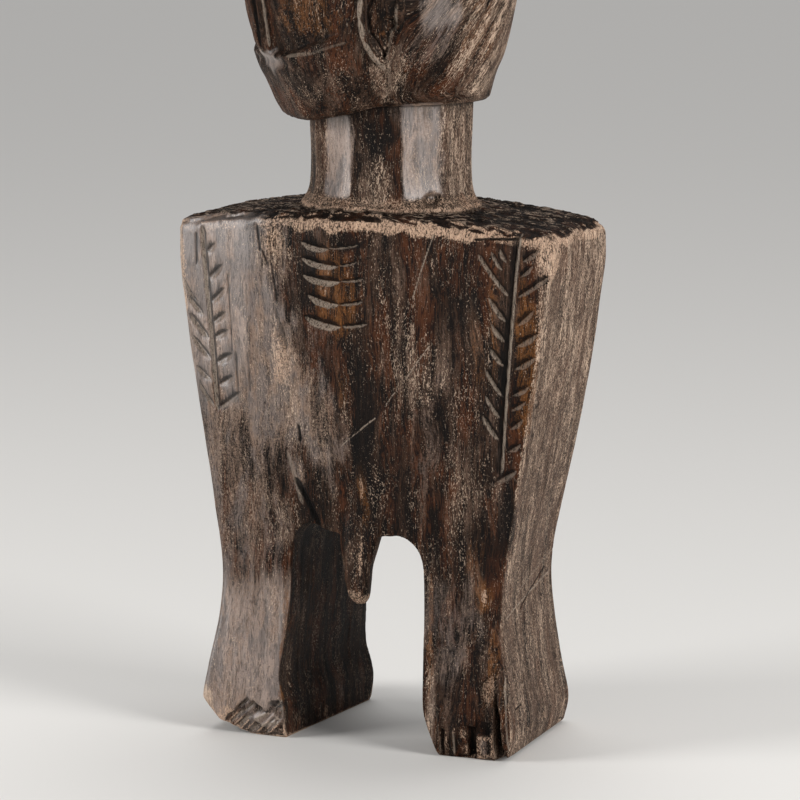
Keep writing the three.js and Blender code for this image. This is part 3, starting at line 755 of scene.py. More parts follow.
def relaxed(values, edges, count, rounds):
    """Averages values over neighbouring vertices, a number of times."""
    degree = np.maximum(np.bincount(edges.ravel(), minlength=count), 1)
    values = values.reshape(count, -1)
    a, b = edges.T
    for _ in range(rounds):
        sums = [np.bincount(a, column[b], count) + np.bincount(b, column[a], count) for column in values.T]
        values = 0.5 * values + 0.5 * np.stack(sums, 1) / degree[:, None]
    return values


def with_modifier(obj, kind, **settings):
    """Adds a modifier and applies it."""
    modifier = obj.modifiers.new(kind.title(), kind)
    for name, value in settings.items():
        setattr(modifier, name, value)
    bpy.context.view_layer.objects.active = obj
    with bpy.context.temp_override(object=obj, active_object=obj):
        bpy.ops.object.modifier_apply(modifier=modifier.name)


def faces_out(obj):
    """Turns all faces of a closed mesh outwards."""
    work = bmesh.new()
    work.from_mesh(obj.data)
    bmesh.ops.recalc_face_normals(work, faces=work.faces)
    work.to_mesh(obj.data)
    work.free()


def stroke_list(sizes):
    """Every cut on the front as (from x, from z, to x, to z, width, depth, bow, light, bottom). Light is
    how much pale cut wood with painted light shows on its lower side. The bottom is where the cut is
    deepest, from -1 at its lower edge to 1 at its upper edge."""
    width, depth = sizes.stroke_width, sizes.stroke_depth
    strokes = []
    for ((top_x, top_z), (foot_x, foot_z)), rows in FEATHERS:
        strokes.append((foot_x, foot_z, top_x, top_z, width * 0.85, depth * 1.05, 0.3, 0.9, 0.1))
        for k, (z, beside, reach, rise) in enumerate(rows):
            x = foot_x + (top_x - foot_x) * (z - foot_z) / (top_z - foot_z) + beside
            vary = 1.0 + 0.14 * math.sin(5.1 * k + top_x)
            thin, light = (1.0, 0.55) if reach > 0.0 else (0.78, 0.75)
            wide = thin * width * vary
            strokes.append((x, z, x + reach, z + rise, wide, depth * vary, -0.3, light, 0.25))
    for k, (x, z, right, right_rise, left, left_rise) in enumerate(CHEVRONS):
        grow = 0.85 + 0.06 * k
        wide, deep = sizes.notch_width * grow, sizes.notch_depth * grow
        strokes.append((x, z, x + right, z + right_rise, wide, deep, -0.8, 1.0, 0.05))
        strokes.append((x, z + 0.2, x + left, z + left_rise, wide * 0.5, deep * 0.6, -0.3, 0.7, 0.15))
    return strokes + [(*row[:6], 0.2, row[6], 0.3) for row in CUTS]


def carve_strokes(points, normals, strokes):
    """Depth of the cuts at each vertex of the front, how much painted light lies on the floor and how much
    painted shade lies on the upper side. A stroke is a V with pointed ends along a bowed line. Where its
    bottom lies near its upper side, the lower side is long. A stroke of negative depth is a ridge, and has
    no painted shade."""
    depth_here, floor, wall_shade = np.zeros((3, len(points)))
    front = np.flatnonzero(normals[:, 1] < -0.25)
    x, z = points[front, 0], points[front, 2]
    for from_x, from_z, to_x, to_z, width, depth, bow, light, lowest in strokes:
        run_x, run_z = to_x - from_x, to_z - from_z
        near_x = np.abs(x - from_x / 2 - to_x / 2) < abs(run_x) / 2 + 4.0
        near = np.flatnonzero(near_x & (np.abs(z - from_z / 2 - to_z / 2) < abs(run_z) / 2 + 4.0))
        length = math.hypot(run_x, run_z)
        upwards = (1.0 if run_x >= 0.0 else -1.0) / length
        off_x, off_z = x[near] - from_x, z[near] - from_z
        u = (off_x * run_x + off_z * run_z) / length**2
        s = (off_z * run_x - off_x * run_z) * upwards - bow * 4 * u * (1 - u)
        swell = np.clip(np.minimum(u + 0.03, 1.03 - u) * length / (1.1 * width), 0.0, 1.0) ** 0.6
        half = np.maximum(width / 2 * swell, 1e-3)
        bottom = lowest * half
        rise = np.where(s > bottom, (s - bottom) / (half - bottom), (bottom - s) / (half + bottom))
        carved = depth * swell * np.clip(1.0 - rise, 0.0, 1.0)
        inside = np.clip((half - np.abs(s)) / 0.35, 0.0, 1.0) * np.clip(swell * 2.0, 0.0, 1.0)
        # Painted shade on the upper side of the cut and in a dark line along its upper edge, and painted
        # light on its lower side. A cut with little painted light is shaded all through.
        upper = smooth(-0.05, 0.25, (s - bottom) / half) * (depth > 0)
        edge_shadow = np.exp(-(((s - half) / 0.4) ** 2)) * np.clip(swell * 2.0 - 0.4, 0.0, 1.0)
        dark = np.maximum(inside * np.maximum(upper, 1.0 - light), edge_shadow * smooth(1.4, 2.4, width))
        at = front[near]
        depth_here[at] = np.where(np.abs(carved) > np.abs(depth_here[at]), carved, depth_here[at])
        floor[at] = np.maximum(floor[at], light * inside * (1.0 - upper))
        wall_shade[at] = np.maximum(wall_shade[at], dark * (depth > 0))
    return depth_here, floor, wall_shade


def all_cuts(points, normals, sizes):
    """Depth, painted light on the floor and painted shade on the upper side of the cuts, on the front and
    on the side. The side is turned to the front for its own strokes."""
    front = carve_strokes(points, normals, stroke_list(sizes))
    quarter = np.array([[0.0, -1.0, 0.0], [1.0, 0.0, 0.0], [0.0, 0.0, 1.0]])
    rows = [(*row[:6], 0.2, row[6], 0.3) for row in SIDE_CUTS]
    side = carve_strokes(points @ quarter, normals @ quarter, rows)
    outer = points[:, 0] > SIDE_START
    return [one + other * outer for one, other in zip(front, side)]


def broken(points):
    """1 where the toes of the right foot have broken away, 0 elsewhere, and the height of the torn fibres
    there, from -1 to 1. The fibres slant upwards to the figure's left."""
    x, y, z = points.T
    border = np.interp(x, *np.transpose(BREAK)) + 0.5 * lattice_noise(points * 0.5, 34)
    inside = smooth(0.5, -0.3, z - border) * smooth(-8.0, -14.0, x) * smooth(-8.0, -14.0, y)
    torn = lattice_noise(np.stack([0.9 * (x - z), 0.0 * z, 0.08 * (x + z)], 1), 33)
    return inside, torn


def set_back(points, normals):
    """Depth of the dents, the broken toes and the torn wood at each vertex of the front. A dent is an
    ellipse and a toe is a block, both with ragged borders."""
    x, y, z = points.T
    rough = lattice_noise(points * 0.45, 31)
    inside, torn = broken(points)
    depth = inside * (0.85 + 0.55 * torn)
    for middle_x, middle_z, radius_x, radius_z, deep in DENTS:
        away = np.hypot((x - middle_x) / radius_x, (z - middle_z) / radius_z) + 0.2 * rough
        depth = np.maximum(depth, deep * smooth(1.1, 0.4, away))
    for from_x, to_x, bottom, top, deep, fade in TOES:
        side = x + 0.25 * rough
        across = smooth(from_x - 0.35, from_x + 0.35, side) * smooth(to_x + 0.35, to_x - 0.35, side)
        edge = top + 0.7 * rough
        height = smooth(edge + 0.5, edge - 0.5, z) * smooth(bottom - 0.4, bottom + 0.4, z + 0.3 * rough)
        height = height * (1.0 - fade * np.clip((z - bottom) / (top - bottom), 0.0, 1.0))
        depth = np.maximum(depth, deep * across * height)
    return depth * smooth(-0.2, -0.5, normals[:, 1]) * smooth(-8.0, -14.0, y)


def chisel_marks(points):
    """Sharp crests between hollows, longer across than in depth: 1 - 4.5|n| of a noise n, from -1 to
    1."""
    n = stretched_noise(points, 0.10, 0.36, 0.1, 41) + 0.45 * stretched_noise(points, 0.3, 0.7, 0.3, 42)
    return np.clip(1.0 - 4.5 * np.abs(n), -1.0, 1.0)


def shoulder_top(points, normals):
    """1 on the top of the shoulders, 0 elsewhere."""
    z = points[:, 2]
    return smooth(0.5, 0.8, normals[:, 2]) * smooth(164.0, 168.0, z) * smooth(184.0, 181.0, z)


def relief(points, normals, sizes):
    """How far the worked surface stands off the plain form: a slow wander, scoops of the knife, ridges
    along the grain, and chisel marks on the shoulders' top. It fades out at the soles."""
    top = shoulder_top(points, normals)
    wander = layered_noise(points * np.array([0.05, 0.05, 0.025]), 2, 3) * sizes.warp
    scoops = (cell_borders(points * np.array([0.13, 0.13, 0.05]), 11) - 0.25) * sizes.facet_depth
    fibres = stretched_noise(points, 0.6, 0.6, 0.04, 21) * sizes.fibre_depth
    grit = lattice_noise(points * 0.7, 22) * 0.12 * rim_band(points)
    marks = chisel_marks(points) * sizes.chisel_depth * top
    return (wander + (scoops + fibres) * (1.0 - top) + grit + marks) * smooth(0.0, 3.0, points[:, 2])


def rim_band(points):
    """1 in a band below the shoulders' edge, with a ragged lower side, 0 elsewhere."""
    x, _, z = points.T
    below = SHOULDER_TOP - shoulder_fall(x, z) - z
    ragged = 1.6 * lattice_noise(points * 0.25, 51)
    return smooth(6.7, 4.5, below + ragged) * smooth(-3.0, -0.5, below)


def rough_parts():
    """The closed forms that the figure is melted from: the slab with its openings cut out, the neck, the
    peg, and the head with its features, turned to one side."""
    body = slab()
    faces_out(body)
    for opening in (arch(), split()):
        faces_out(opening)
        with_modifier(body, "BOOLEAN", operation="DIFFERENCE", object=opening, solver="EXACT")
        bpy.data.objects.remove(opening)
    features = [head(), nose(), ear(1), ear(-1), eye(1), eye(-1)]
    parts = [body, neck(), peg()] + [turned(part, HEAD_TURN) for part in features]
    for part in parts:
        faces_out(part)
    return parts


def melted(parts, cell):
    """Joins the parts and remeshes them as one closed surface of small even cells."""
    with bpy.context.temp_override(active_object=parts[0], selected_editable_objects=parts):
        bpy.ops.object.join()
    figure = parts[0]
    figure.name = "carved_figure"
    figure.data.remesh_voxel_size = cell * MM
    figure.data.remesh_voxel_adaptivity = 0.0
    with bpy.context.temp_override(object=figure, active_object=figure):
        bpy.ops.object.voxel_remesh()
    return figure


class FIGURE_OT_carve(bpy.types.Operator):
    """Carves the figure as one closed mesh and gives it its wear."""

    bl_idname = "figure.carve"
    bl_label = "Carve figure"

    def execute(self, context):
        sizes = context.scene.figure_sizes
        figure = melted(rough_parts(), sizes.cell * (1.0))
        weather(figure, sizes)
        thin(figure, sizes.faces)
        settle(figure)
        paint(figure, sizes)
        mesh = figure.data
        mesh.materials.clear()
        mesh.materials.append(wood_material(context.scene.wood_look))
        mesh.polygons.foreach_set("use_smooth", np.ones(len(mesh.polygons), bool))
        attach(figure, "root")
        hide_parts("figure")
        return {"FINISHED"}


def weather(figure, sizes):
    """Cuts the worn corners, then moves each vertex along its normal by the relief, the cuts and the
    dents. The bend of the plain form is stored as wear, and the carved places as a group that is kept
    from thinning."""
    mesh = figure.data
    count = len(mesh.vertices)
    edges = read_edges(mesh)
    points = read_points(mesh) / MM
    for place, facing, reach in CHOPS:
        facing = unit(np.array(facing))
        from_place = points - np.array(place)
        near = smooth(reach, 0.8 * reach, np.linalg.norm(from_place, axis=1))
        points = points - facing * (np.maximum(from_place @ facing, 0.0) * near)[:, None]
    points = relaxed(points, edges, count, 2)
    flat = relaxed(points, edges, count, 14)
    write_points(mesh, points * MM)
    normals = read_normals(mesh)
    bend = ((points - flat) * normals).sum(axis=1)
    store(mesh, "wear", smooth(0.16, 0.42, bend))
    cut = all_cuts(points, normals, sizes)[0] + set_back(points, normals)
    write_points(mesh, (points + normals * (relief(points, normals, sizes) - cut)[:, None]) * MM)
    carved = relaxed((np.abs(cut) > 0.05) * 1.0, edges, count, 2)[:, 0] > 0.1
    figure.vertex_groups.new(name=KEPT).add(np.flatnonzero(carved).tolist(), KEPT_WEIGHT, "REPLACE")


def thin(figure, faces):
    """Thins the mesh to its number of triangles, least where it is carved."""
    triangles = sum(len(face.vertices) - 2 for face in figure.data.polygons)
    with_modifier(figure, "DECIMATE", ratio=min(1.0, faces / triangles), vertex_group=KEPT,
                  invert_vertex_group=True, vertex_group_factor=1.0)
    figure.vertex_groups.clear()


def settle(figure):
    """Moves the figure from the neck's axis to the box's middle, stands its soles on the floor and keeps
    it inside the solid's box."""
    points = read_points(figure.data)
    points[:, 1] += AXIS_SHIFT * MM
    points[:, 2] -= points[:, 2].min()
    low, high = (np.array(corner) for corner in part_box("figure"))
    write_points(figure.data, np.clip(points, low, high))


def paint(figure, sizes):
    """Stores on the vertices what the wood reads: the colour masks, the painted light on the floors and the
    painted shade on the walls of the cuts, painted shade in hollows from the bend of the surface, and the
    chisel crests of the shoulders' top."""
    mesh = figure.data
    count = len(mesh.vertices)
    points = read_points(mesh) / MM - np.array([0.0, AXIS_SHIFT, 0.0])
    edges = read_edges(mesh)
    normals = read_normals(mesh)
    bend = ((points - relaxed(points, edges, count, 5)) * normals).sum(axis=1)
    top = shoulder_top(points, normals)
    inside, torn = broken(points)
    inside = inside * smooth(-0.2, -0.5, normals[:, 1])
    _, floor, wall_shade = all_cuts(points, normals, sizes)
    # Darker along the shallower torn fibres of the broken foot, in the same mask as the painted shade.
    wall_shade = np.maximum(wall_shade, 0.5 * inside * smooth(-0.15, -0.5, torn) * (1.0 - floor))
    masks = marked(points, broad_masks(points, unit(relaxed(normals, edges, count, 8))))
    masks["tan"] = np.maximum(masks["tan"], worn_edges(points, bend, top))
    # Painted shade in hollows, from the bend of the surface.
    masks["hollow"] = np.clip(-bend / 0.26, 0.0, 1.0)
    # Painted light on the floors of the cuts, and lighter along the deeper torn fibres of the broken foot.
    masks["floor"] = np.maximum(floor, 0.8 * inside * smooth(-0.2, 0.5, torn))
    # Painted shade where the surface is set back deepest: dents, toes and broken wood.
    masks["wall_shade"] = np.maximum(wall_shade, 0.7 * smooth(1.4, 2.6, set_back(points, normals)))
    masks["top"] = top
    masks["crest"] = 0.5 + 0.5 * chisel_marks(points) * top
    for name, values in masks.items():
        store(mesh, name, values)


def marked(points, masks):
    """Adds the marks to the masks, as ellipsoids with ragged borders."""
    ragged = 0.35 * layered_noise(points * np.array([0.16, 0.16, 0.07]), 3, 61)
    for name, rows in MARKS.items():
        mask = masks.get(name, np.zeros(len(points)))
        for centre, radii, strength in rows:
            away = np.linalg.norm((points - np.array(centre)) / np.array(radii), axis=1) + ragged
            mask = np.maximum(mask, strength * smooth(1.25, 0.55, away))
        masks[name] = mask
    return masks


def worn_edges(points, bend, top):
    """Where bare wood shows on edges: round the feet, under the head's edge on one side, along the
    shoulders' rim, and in a ring round the neck's foot."""
    x, y, z = points.T
    from_axis = np.hypot(x, y)
    right = x < 0.0
    foot_top = np.where(right, 5.0 + 0.5 * np.maximum(-38.0 - x, 0.0), 10.0)
    foot_share = np.where(right, 1.0, 0.55 + 0.3 * lattice_noise(points * 0.3, 82))
    foot = foot_share * smooth(0.03, 0.11, bend) * smooth(1.5, -0.5, z - foot_top)
    under_head = smooth(216.0, 213.0, z) * smooth(203.0, 205.0, z) * smooth(28.5, 30.0, from_axis)
    jaw = 0.6 * under_head * smooth(0.04, 0.14, bend) * smooth(-6.0, 4.0, x)
    grey_side = smooth(-30.0, -36.0, x) * smooth(-10.0, -20.0, y)
    patchy = 0.95 + 0.25 * lattice_noise(points * 0.09, 81) - 0.5 * grey_side
    rim = rim_band(points) * (1.0 - top) * patchy
    ring = 0.7 * smooth(33.5, 30.0, from_axis) * smooth(185.0, 180.5, z) * smooth(170.0, 175.0, z)
    return np.maximum.reduce([foot, jaw, rim, ring])


def broad_masks(points, normals):
    """Masks that cover whole faces. Grey bloom with painted sheen lies on the outer part of the chest and
    on the leg on the right, where the left soft box would shine. Painted highlights lie as bloom on two
    strips of the neck. Dust lies on the sides, on the neck's edges and in slanting streaks on the head.
    Lean is 1 where the grain slants, on the left and the back of the head."""
    x, y, z = points.T
    across, deep, _ = normals.T
    body = smooth(184.0, 180.0, z)
    on_head = smooth(212.0, 216.0, z)
    # Painted sheen with a grey bloom on the outer chest and the right leg, which face the left soft box.
    chest = smooth(-14.0, -46.0, x) * (0.64 + 0.36 * smooth(96.0, 128.0, z))
    leg = smooth(-4.0, -24.0, x) * smooth(66.0, 46.0, z)
    bloom_and_sheen = smooth(-0.3, -0.6, deep) * body * np.maximum(chest, leg)
    turn = np.degrees(np.arctan2(x, -y)) + 3.0 * stretched_noise(points, 0.25, 0.25, 0.12, 72)
    under_head = smooth(0.0, -1.5, z - 209.5 - 4.0 * smooth(0.0, 16.0, x))
    column = smooth(180.0, 184.0, z) * smooth(31.0, 29.0, np.hypot(x, y)) * under_head
    # Painted highlights: two strips of the neck, at the turns where the left and right soft boxes would
    # shine, painted as bloom.
    near_sheen_strip = smooth(-34.0, -20.0, turn) * smooth(0.0, -10.0, turn)
    far_sheen_strip = smooth(26.0, 38.0, turn) * smooth(70.0, 50.0, turn)
    mottle = stretched_noise(points, 0.3, 0.3, 0.12, 73)
    bloom_and_sheen = np.maximum(bloom_and_sheen, (1.55 + 0.5 * mottle) * column * np.maximum(near_sheen_strip, far_sheen_strip))
    tawny = 0.3 * column * far_sheen_strip * smooth(0.2, -0.3, mottle)
    slant_x, slant_y = (p - share * (z - LEAN_HEIGHT) for p, share in zip((x, y), LEAN))
    streaks = layered_noise(np.stack([0.42 * slant_x, 0.42 * slant_y, 0.05 * z], 1), 2, 71)
    streaks = 0.35 + (0.7 * smooth(-0.35, 0.45, streaks) - 0.05) * smooth(270.0, 246.0, z)
    behind = x + 0.45 * y + 8.0
    head_dust = 1.5 * on_head * smooth(24.0, 36.0, behind) * smooth(24.0, 8.0, y) * streaks
    outer = np.where(x > SIDE_START, 1.0, 0.6 * (x < -SIDE_START))
    sides = body * smooth(0.5, 0.85, np.abs(across)) * outer
    sides = sides * (0.7 + 0.3 * smooth(50.0, 120.0, z))
    edges = np.maximum(smooth(52.0, 66.0, turn), 0.5 * smooth(-24.0, -30.0, turn))
    neck_dust = column * np.maximum(edges, 0.45 * far_sheen_strip * smooth(202.0, 188.0, z))
    clean_legs = smooth(96.0, 64.0, z) * smooth(0.9, 0.6, across)
    return {
        "bloom_and_sheen": bloom_and_sheen * (1.0 - 0.45 * broken(points)[0]),
        "tawny": tawny,
        "dusty": np.maximum.reduce([sides, neck_dust, head_dust]) - clean_legs,
        "lean": on_head * smooth(4.0, 20.0, behind),
    }


def store(mesh, name, values):
    """Stores one number per vertex."""
    layer = mesh.attributes.new(name, "FLOAT", "POINT")
    layer.data.foreach_set("value", np.asarray(values, np.float32))


class Wire:
    """One output socket, so that shader maths reads as an expression."""

    def __init__(self, shader, socket):
        self.shader = shader
        self.socket = socket

    def maths(self, operation, *values):
        """A maths node on wires or plain numbers."""
        return self.shader.node("ShaderNodeMath", {"operation": operation}, dict(enumerate(values)))

    def __add__(self, other):
        return self.maths("ADD", self, other)

    __radd__ = __add__

    def __mul__(self, other):
        return self.maths("MULTIPLY", self, other)

    __rmul__ = __mul__

    def __sub__(self, other):
        return self.maths("SUBTRACT", self, other)

    def __rsub__(self, other):
        return self.maths("SUBTRACT", other, self)

    def step(self, low, high):
        """0 at low, 1 at high, smooth between; low may be above high."""
        settings = {"interpolation_type": "SMOOTHSTEP", "clamp": True}
        values = {"Value": self, "From Min": min(low, high), "From Max": max(low, high)}
        rising = self.shader.node("ShaderNodeMapRange", settings, values)
        return rising if low < high else 1.0 - rising

    def frayed(self, *fields):
        """A mask with a broken border: each field, less its middle value, is added in its own share."""
        mask = self
        for field, share in fields:
            mask = mask + (field - 0.5) * share
        return mask


class Shader:
    """The node tree of one material."""

    def __init__(self, name):
        self.material = bpy.data.materials.new(name)
        self.material.use_nodes = True
        self.tree = self.material.node_tree
        self.tree.nodes.clear()

    def node(self, kind, settings=None, values=None, output=0):
        """Adds a node, gives it its settings and then the values or links of its sockets."""
        made = self.tree.nodes.new(kind)
        for name, value in (settings or {}).items():
            setattr(made, name, value)
        for socket, value in (values or {}).items():
            if isinstance(value, Wire):
                self.tree.links.new(value.socket, made.inputs[socket])
            else:
                made.inputs[socket].default_value = value
        return Wire(self, made.outputs[output])

    def vector(self, operation, *values):
        """Vector maths."""
        inputs = dict(enumerate(values))
        return self.node("ShaderNodeVectorMath", {"operation": operation}, inputs, "Vector")

    def place(self):
        """Object coordinates in millimetres."""
        where = self.node("ShaderNodeTexCoord", output="Object")
        return self.vector("MULTIPLY", where, (1.0 / MM, 1.0 / MM, 1.0 / MM))

    def noise(self, vector, stretch, scale, detail, roughness):
        """Noise from 0 to 1, with the vector's parts multiplied first."""
        values = {"Vector": self.vector("MULTIPLY", vector, stretch), "Scale": scale, "Detail": detail,
                  "Roughness": roughness}
        return self.node("ShaderNodeTexNoise", {}, values, "Fac")

    def mixed(self, factor, first, second):
        """A colour between two colours."""
        first, second = (one if isinstance(one, Wire) else opaque(one) for one in (first, second))
        return self.node("ShaderNodeMix", {"data_type": "RGBA"}, {0: factor, 6: first, 7: second}, 2)

    def mask(self, name):
        """A number stored on the vertices."""
        return self.node("ShaderNodeAttribute", {"attribute_name": name}, {}, "Fac")

    def finished(self, surface):
        """Links the surface to the output and gives the material."""
        output = self.tree.nodes.new("ShaderNodeOutputMaterial")
        self.tree.links.new(surface.socket, output.inputs["Surface"])
        return self.material


def opaque(rgb):
    """A colour with full alpha."""
    return (*rgb, 1.0)


def leaning_place(s):
    """Object coordinates in millimetres, slanted where the grain leans."""
    at = s.place()
    shift = s.mask("lean") * (s.node("ShaderNodeSeparateXYZ", {}, {0: at}, "Z") - LEAN_HEIGHT)
    slants = {i: shift * -share for i, share in enumerate(LEAN)}
    return s.vector("ADD", at, s.node("ShaderNodeCombineXYZ", {}, slants, "Vector"))


def wood_fields(s):
    """Noise fields of the wood. Most of them follow the grain, which runs up the figure and sways a
    little."""
    at = leaning_place(s)
    sway_values = {"Vector": s.vector("MULTIPLY", at, (1.0, 1.0, 0.4)), "Scale": 0.09}
    sway = s.node("ShaderNodeTexNoise", {}, sway_values, "Color")
    grain = s.vector("MULTIPLY_ADD", sway, (6.0, 6.0, 0.0), at)
    return SimpleNamespace(
        fibre=s.noise(grain, (1.0, 1.0, 0.06), 1.8, 6.0, 0.75),
        streak=s.noise(grain, (1.0, 1.0, 0.07), 0.32, 4.0, 0.6),
        speck=s.noise(grain, (1.0, 1.0, 0.42), 3.0, 2.0, 0.6),
        dash=s.noise(grain, (1.0, 1.0, 0.13), 2.0, 3.0, 0.7),
        pore=s.noise(grain, (1.0, 1.0, 0.12), 2.3, 3.0, 0.6),
        crowd=s.noise(grain, (1.0, 1.0, 0.15), 0.25, 5.0, 0.7),
        red=s.noise(grain, (1.0, 1.0, 0.2), 0.13, 4.0, 0.65),
        grit=s.noise(at, (1.0, 1.0, 1.0), 1.7, 4.0, 0.75),
        blot=s.noise(at, (1.0, 1.0, 0.4), 0.13, 4.0, 0.62),
        flake=s.noise(at, (0.14, 0.8, 0.8), 1.5, 4.0, 0.7),
    )


def wood_masks(s, f):
    """The masks painted on the vertices, their borders broken up by the noise fields."""
    tawny = s.mask("tawny")
    gritty = 0.9 + tawny * 1.4
    # Grey bloom and painted sheen, with its border broken up by the noise.
    bloom_and_sheen = s.mask("bloom_and_sheen").frayed((f.streak, 1.2), (f.fibre, 1.0), (f.grit, gritty), (f.blot, 1.0))
    return SimpleNamespace(
        tawny=tawny,
        dusty=s.mask("dusty"),
        bloom_and_sheen=bloom_and_sheen.step(0.18, 1.05),
        warm=s.mask("warm").frayed((f.streak, 1.8), (f.grit, 1.6), (f.fibre, 1.6)).step(0.42, 1.25),
        soot_and_shade=s.mask("soot_and_shade").frayed((f.blot, 0.8), (f.grit, 0.8)).step(0.30, 1.0),
        tan=s.mask("tan").frayed((f.grit, 1.8), (f.speck, 1.4)).step(0.45, 1.05),
        worn=s.mask("wear").frayed((f.grit, 1.8), (f.speck, 1.2)).step(0.50, 1.05),
        floor=(s.mask("floor") * (0.4 + f.grit * 0.6 + f.speck * 0.6)).step(0.20, 0.95),
        wall_shade=s.mask("wall_shade"),
        hollow=s.mask("hollow"),
        top=s.mask("top"),
        crest=s.mask("crest"),
        pore=f.pore.step(0.55, 0.62),
    )


def plain_wood(s, look, f, m):
    """Dark and brown fibres with redder streaks, under a thin film in the grain."""
    base = s.mixed((f.streak * 0.45 + f.fibre * 0.55).step(0.43, 0.60), look.dark, look.brown)
    base = s.mixed((f.red * 0.6 + f.fibre * 0.4).step(0.49, 0.60) * 0.75, base, look.russet)
    film = (f.grit * 0.4 + f.streak * 0.6 + m.dusty * 0.12).step(0.46, 0.62)
    return s.mixed(film * (f.blot + m.dusty * 0.2).step(0.44, 0.62) * 0.7, base, look.film)


def worn_wood(s, look, f, m, base):
    """Lays the grey bloom with its painted sheen, rubbed patches, sooty patches that are painted shade in
    places, and bare edges over the wood.
    """
    tone = s.mixed((f.red * 0.5 + f.grit * 0.5 + m.tawny * 0.11).step(0.44, 0.58), look.grey, look.tawny)
    tone = s.mixed(f.blot.step(0.45, 0.57) * 0.8, tone, look.slate)
    # Grey bloom and painted sheen over the wood.
    base = s.mixed(m.bloom_and_sheen * 0.9, base, tone)
    base = s.mixed(m.warm * 0.9, base, look.warm)
    # Black stains and, in some marks, painted shade.
    base = s.mixed(m.soot_and_shade * 0.85, base, look.soot_and_shade)
    bare = s.mixed((f.grit * 0.4 + f.fibre * 0.3 + f.speck * 0.3).step(0.42, 0.53), look.tawny, look.pale)
    base = s.mixed(m.tan * 0.9, base, bare)
    return s.mixed(m.worn * 0.8, base, look.pale)


def cut_wood(s, look, f, m, base):
    """Lays the shoulders' top, darkened as painted shade, then the floors of the cuts in pale cut wood with
    painted light, and the open pores over the wood.
    """
    flake = (f.flake + (m.crest - 0.5) * 0.2).step(0.56, 0.64)
    # Painted shade: the shoulders' top is darkened as if the lamps only grazed it.
    base = s.mixed(m.top * 0.55, base, look.dark)
    base = s.mixed(flake * m.top * 0.55, base, look.dust_and_glint)
    # Pale cut wood with painted light on the floors of the cuts.
    chip_and_light = s.mixed((f.speck * 0.5 + f.grit * 0.5).step(0.50, 0.60), look.chip_and_light, look.film)
    base = s.mixed(m.floor * 0.92, base, chip_and_light)
    return s.mixed(m.pore * (0.8 - m.bloom_and_sheen * 0.45), base, look.soot_and_shade)


def dust_flecks(f, m):
    """Dust, light enough to stand for glints too, in round specks and long dashes, which crowd together in
    places.
    """
    density = (f.crowd - 0.5) * 0.35 - 0.006 + m.dusty * 0.095 - m.soot_and_shade * 0.04
    speck = (f.speck + density).step(0.615, 0.70)
    dash = (f.dash + density).step(0.63, 0.70)
    share = f.crowd.step(0.42, 0.60) * 0.5 + m.dusty.step(0.2, 0.8) * 0.3 + 0.4
    fleck = speck.maths("MAXIMUM", speck, dash * 0.75) * m.dusty.step(-1.0, -0.1) * share
    return fleck * (1.0 - m.wall_shade.step(0.1, 0.5)) * (1.0 - m.top)


def wood_material(look):
    """Dark weathered hardwood: brown fibres, grey bloom with painted sheen, rubbed and sooty patches and
    bare edges. It has cream dust in the grain, light enough to stand for glints too, and painted shade in
    the hollows and on the walls of the cuts."""
    s = Shader("dark_hardwood")
    f = wood_fields(s)
    m = wood_masks(s, f)
    fleck = dust_flecks(f, m)
    base = cut_wood(s, look, f, m, worn_wood(s, look, f, m, plain_wood(s, look, f, m)))
    # Cream dust in the flecks, light enough to stand for glints too.
    base = s.mixed(fleck * (0.78 - m.floor * 0.45), base, look.dust_and_glint)
    base = s.mixed(f.fibre.step(0.48, 0.39) * m.dusty.step(0.3, 1.0) * 0.7, base, look.brown)
    # Painted shade on the walls of the cuts and in deep set-backs.
    base = s.mixed(m.wall_shade.step(0.35, 1.0) * 0.85, base, look.soot_and_shade)
    # Painted shade in the hollows.
    base = s.mixed(m.hollow * (0.7 - m.floor * 0.6), base, look.soot_and_shade)
    raised = f.fibre * 0.6 + f.dash * 0.3 + f.grit * 0.4 - m.pore * 0.5
    bump_values = {"Strength": 1.0, "Distance": GRAIN_HEIGHT, "Height": raised}
    values = {
        "Base Color": base,
        "Roughness": 0.40 + f.fibre * 0.25 + fleck * 0.2 + m.tan * 0.25,
        "Normal": s.node("ShaderNodeBump", {}, bump_values, "Normal"),
        "Specular IOR Level": 0.06,
        "Coat Weight": m.bloom_and_sheen * (0.75 - m.tawny * 0.4) + 0.03,
        "Coat Roughness": 0.32,
    }
    return s.finished(s.node("ShaderNodeBsdfPrincipled", {}, values, "BSDF"))


class FIGURE_OT_studio(bpy.types.Operator):
    """Sets up the floor, the lights and the camera."""

    bl_idname = "figure.studio"
    bl_label = "Set up studio"

    def execute(self, context):
        scene = context.scene
        add_camera(scene, scene.studio_set)
        add_floor(scene)
        add_lights(scene)
        scene.view_settings.view_transform = "Standard"
        return {"FINISHED"}


def direction(azimuth, elevation):
    """From the figure outwards, at an angle round from its front and an angle up."""
    level = math.cos(elevation)
    return Vector((math.sin(azimuth) * level, -math.cos(azimuth) * level, math.sin(elevation)))


def add_camera(scene, studio):
    """A camera at the studio's angle and distance."""
    data = bpy.data.cameras.new("camera")
    data.lens = studio.lens
    data.sensor_width = 36.0
    data.clip_start = 0.01
    camera = bpy.data.objects.new("camera", data)
    back = direction(studio.azimuth, studio.elevation)
    target = (Vector(CAMERA_TARGET) + Vector((0.0, AXIS_SHIFT, 0.0))) * MM
    camera.location = target + back * studio.distance
    camera.rotation_euler = back.to_track_quat("Z", "Y").to_euler()
    scene.collection.objects.link(camera)
    scene.camera = camera


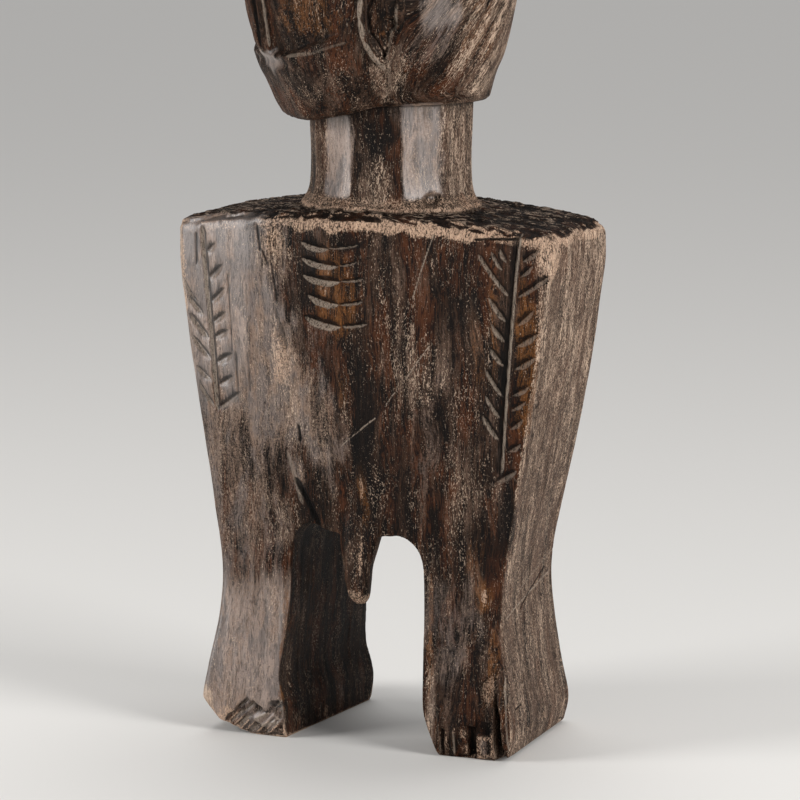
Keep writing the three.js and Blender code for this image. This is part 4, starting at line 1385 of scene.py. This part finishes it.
def add_floor(scene):
    """A large plain floor."""
    corners = [(x * FLOOR_HALF, y * FLOOR_HALF, 0.0) for x, y in ((-1, -1), (1, -1), (1, 1), (-1, 1))]
    mesh = bpy.data.meshes.new("floor")
    mesh.from_pydata(corners, [], [(0, 1, 2, 3)])
    floor = bpy.data.objects.new("floor", mesh)
    scene.collection.objects.link(floor)
    s = Shader("floor_paint")
    values = {"Base Color": opaque(scene.studio_set.floor), "Roughness": 0.7}
    mesh.materials.append(s.finished(s.node("ShaderNodeBsdfPrincipled", {}, values, "BSDF")))


def add_lights(scene):
    """Soft boxes to the left and right, a high soft sun for the floor, and a dim room."""
    for name, azimuth, elevation, distance, power in SOFT_BOXES:
        data = bpy.data.lights.new(name, "AREA")
        data.shape = "RECTANGLE"
        data.size = BOX_WIDTH
        data.size_y = BOX_HEIGHT
        data.energy = power
        out = direction(azimuth, elevation)
        hang(scene, name, data, Vector((0.0, 0.0, LIT_HEIGHT)) + out * distance, out)
    sun = bpy.data.lights.new("sun", "SUN")
    sun.energy = SUN_POWER
    sun.angle = SUN_WIDTH
    hang(scene, "sun", sun, Vector((0.0, 0.0, 2.0)), direction(SUN_AZIMUTH, SUN_ELEVATION))
    world = bpy.data.worlds.new("room")
    world.use_nodes = True
    background = world.node_tree.nodes["Background"].inputs
    background["Color"].default_value = opaque(ROOM_COLOUR)
    background["Strength"].default_value = ROOM_STRENGTH
    scene.world = world


def hang(scene, name, data, place, out):
    """Puts a light in the scene, facing against the outward direction."""
    light = bpy.data.objects.new(name, data)
    light.location = place
    light.rotation_euler = out.to_track_quat("Z", "Y").to_euler()
    scene.collection.objects.link(light)


class FIGURE_PT_panel(bpy.types.Panel):
    """Lists the steps and sizes of the figure."""

    bl_idname = "FIGURE_PT_panel"
    bl_label = "Carved figure"
    bl_space_type = "VIEW_3D"
    bl_region_type = "UI"
    bl_category = "Figure"

    def draw(self, context):
        for name in GROUPS:
            group = getattr(context.scene, name)
            for key in group.bl_rna.properties.keys():
                if key not in ("rna_type", "name"):
                    self.layout.prop(group, key)
        for operator in (FIGURE_OT_studio, FIGURE_OT_carve):
            self.layout.operator(operator.bl_idname)


GROUPS = {"figure_sizes": FigureSizes, "wood_look": WoodLook, "studio_set": StudioSet}
CLASSES = (*GROUPS.values(), FIGURE_OT_carve, FIGURE_OT_studio, FIGURE_PT_panel)


def register():
    """Adds the classes and gives the scene their properties."""
    for item in CLASSES:
        bpy.utils.register_class(item)
    for name, group in GROUPS.items():
        setattr(bpy.types.Scene, name, bpy.props.PointerProperty(type=group))


def unregister():
    """Takes the properties and the classes away again."""
    for name in GROUPS:
        delattr(bpy.types.Scene, name)
    for item in reversed(CLASSES):
        bpy.utils.unregister_class(item)


def main():
    register()
    bpy.ops.figure.studio()
    bpy.ops.figure.carve()


if __name__ == "__main__":
    main()
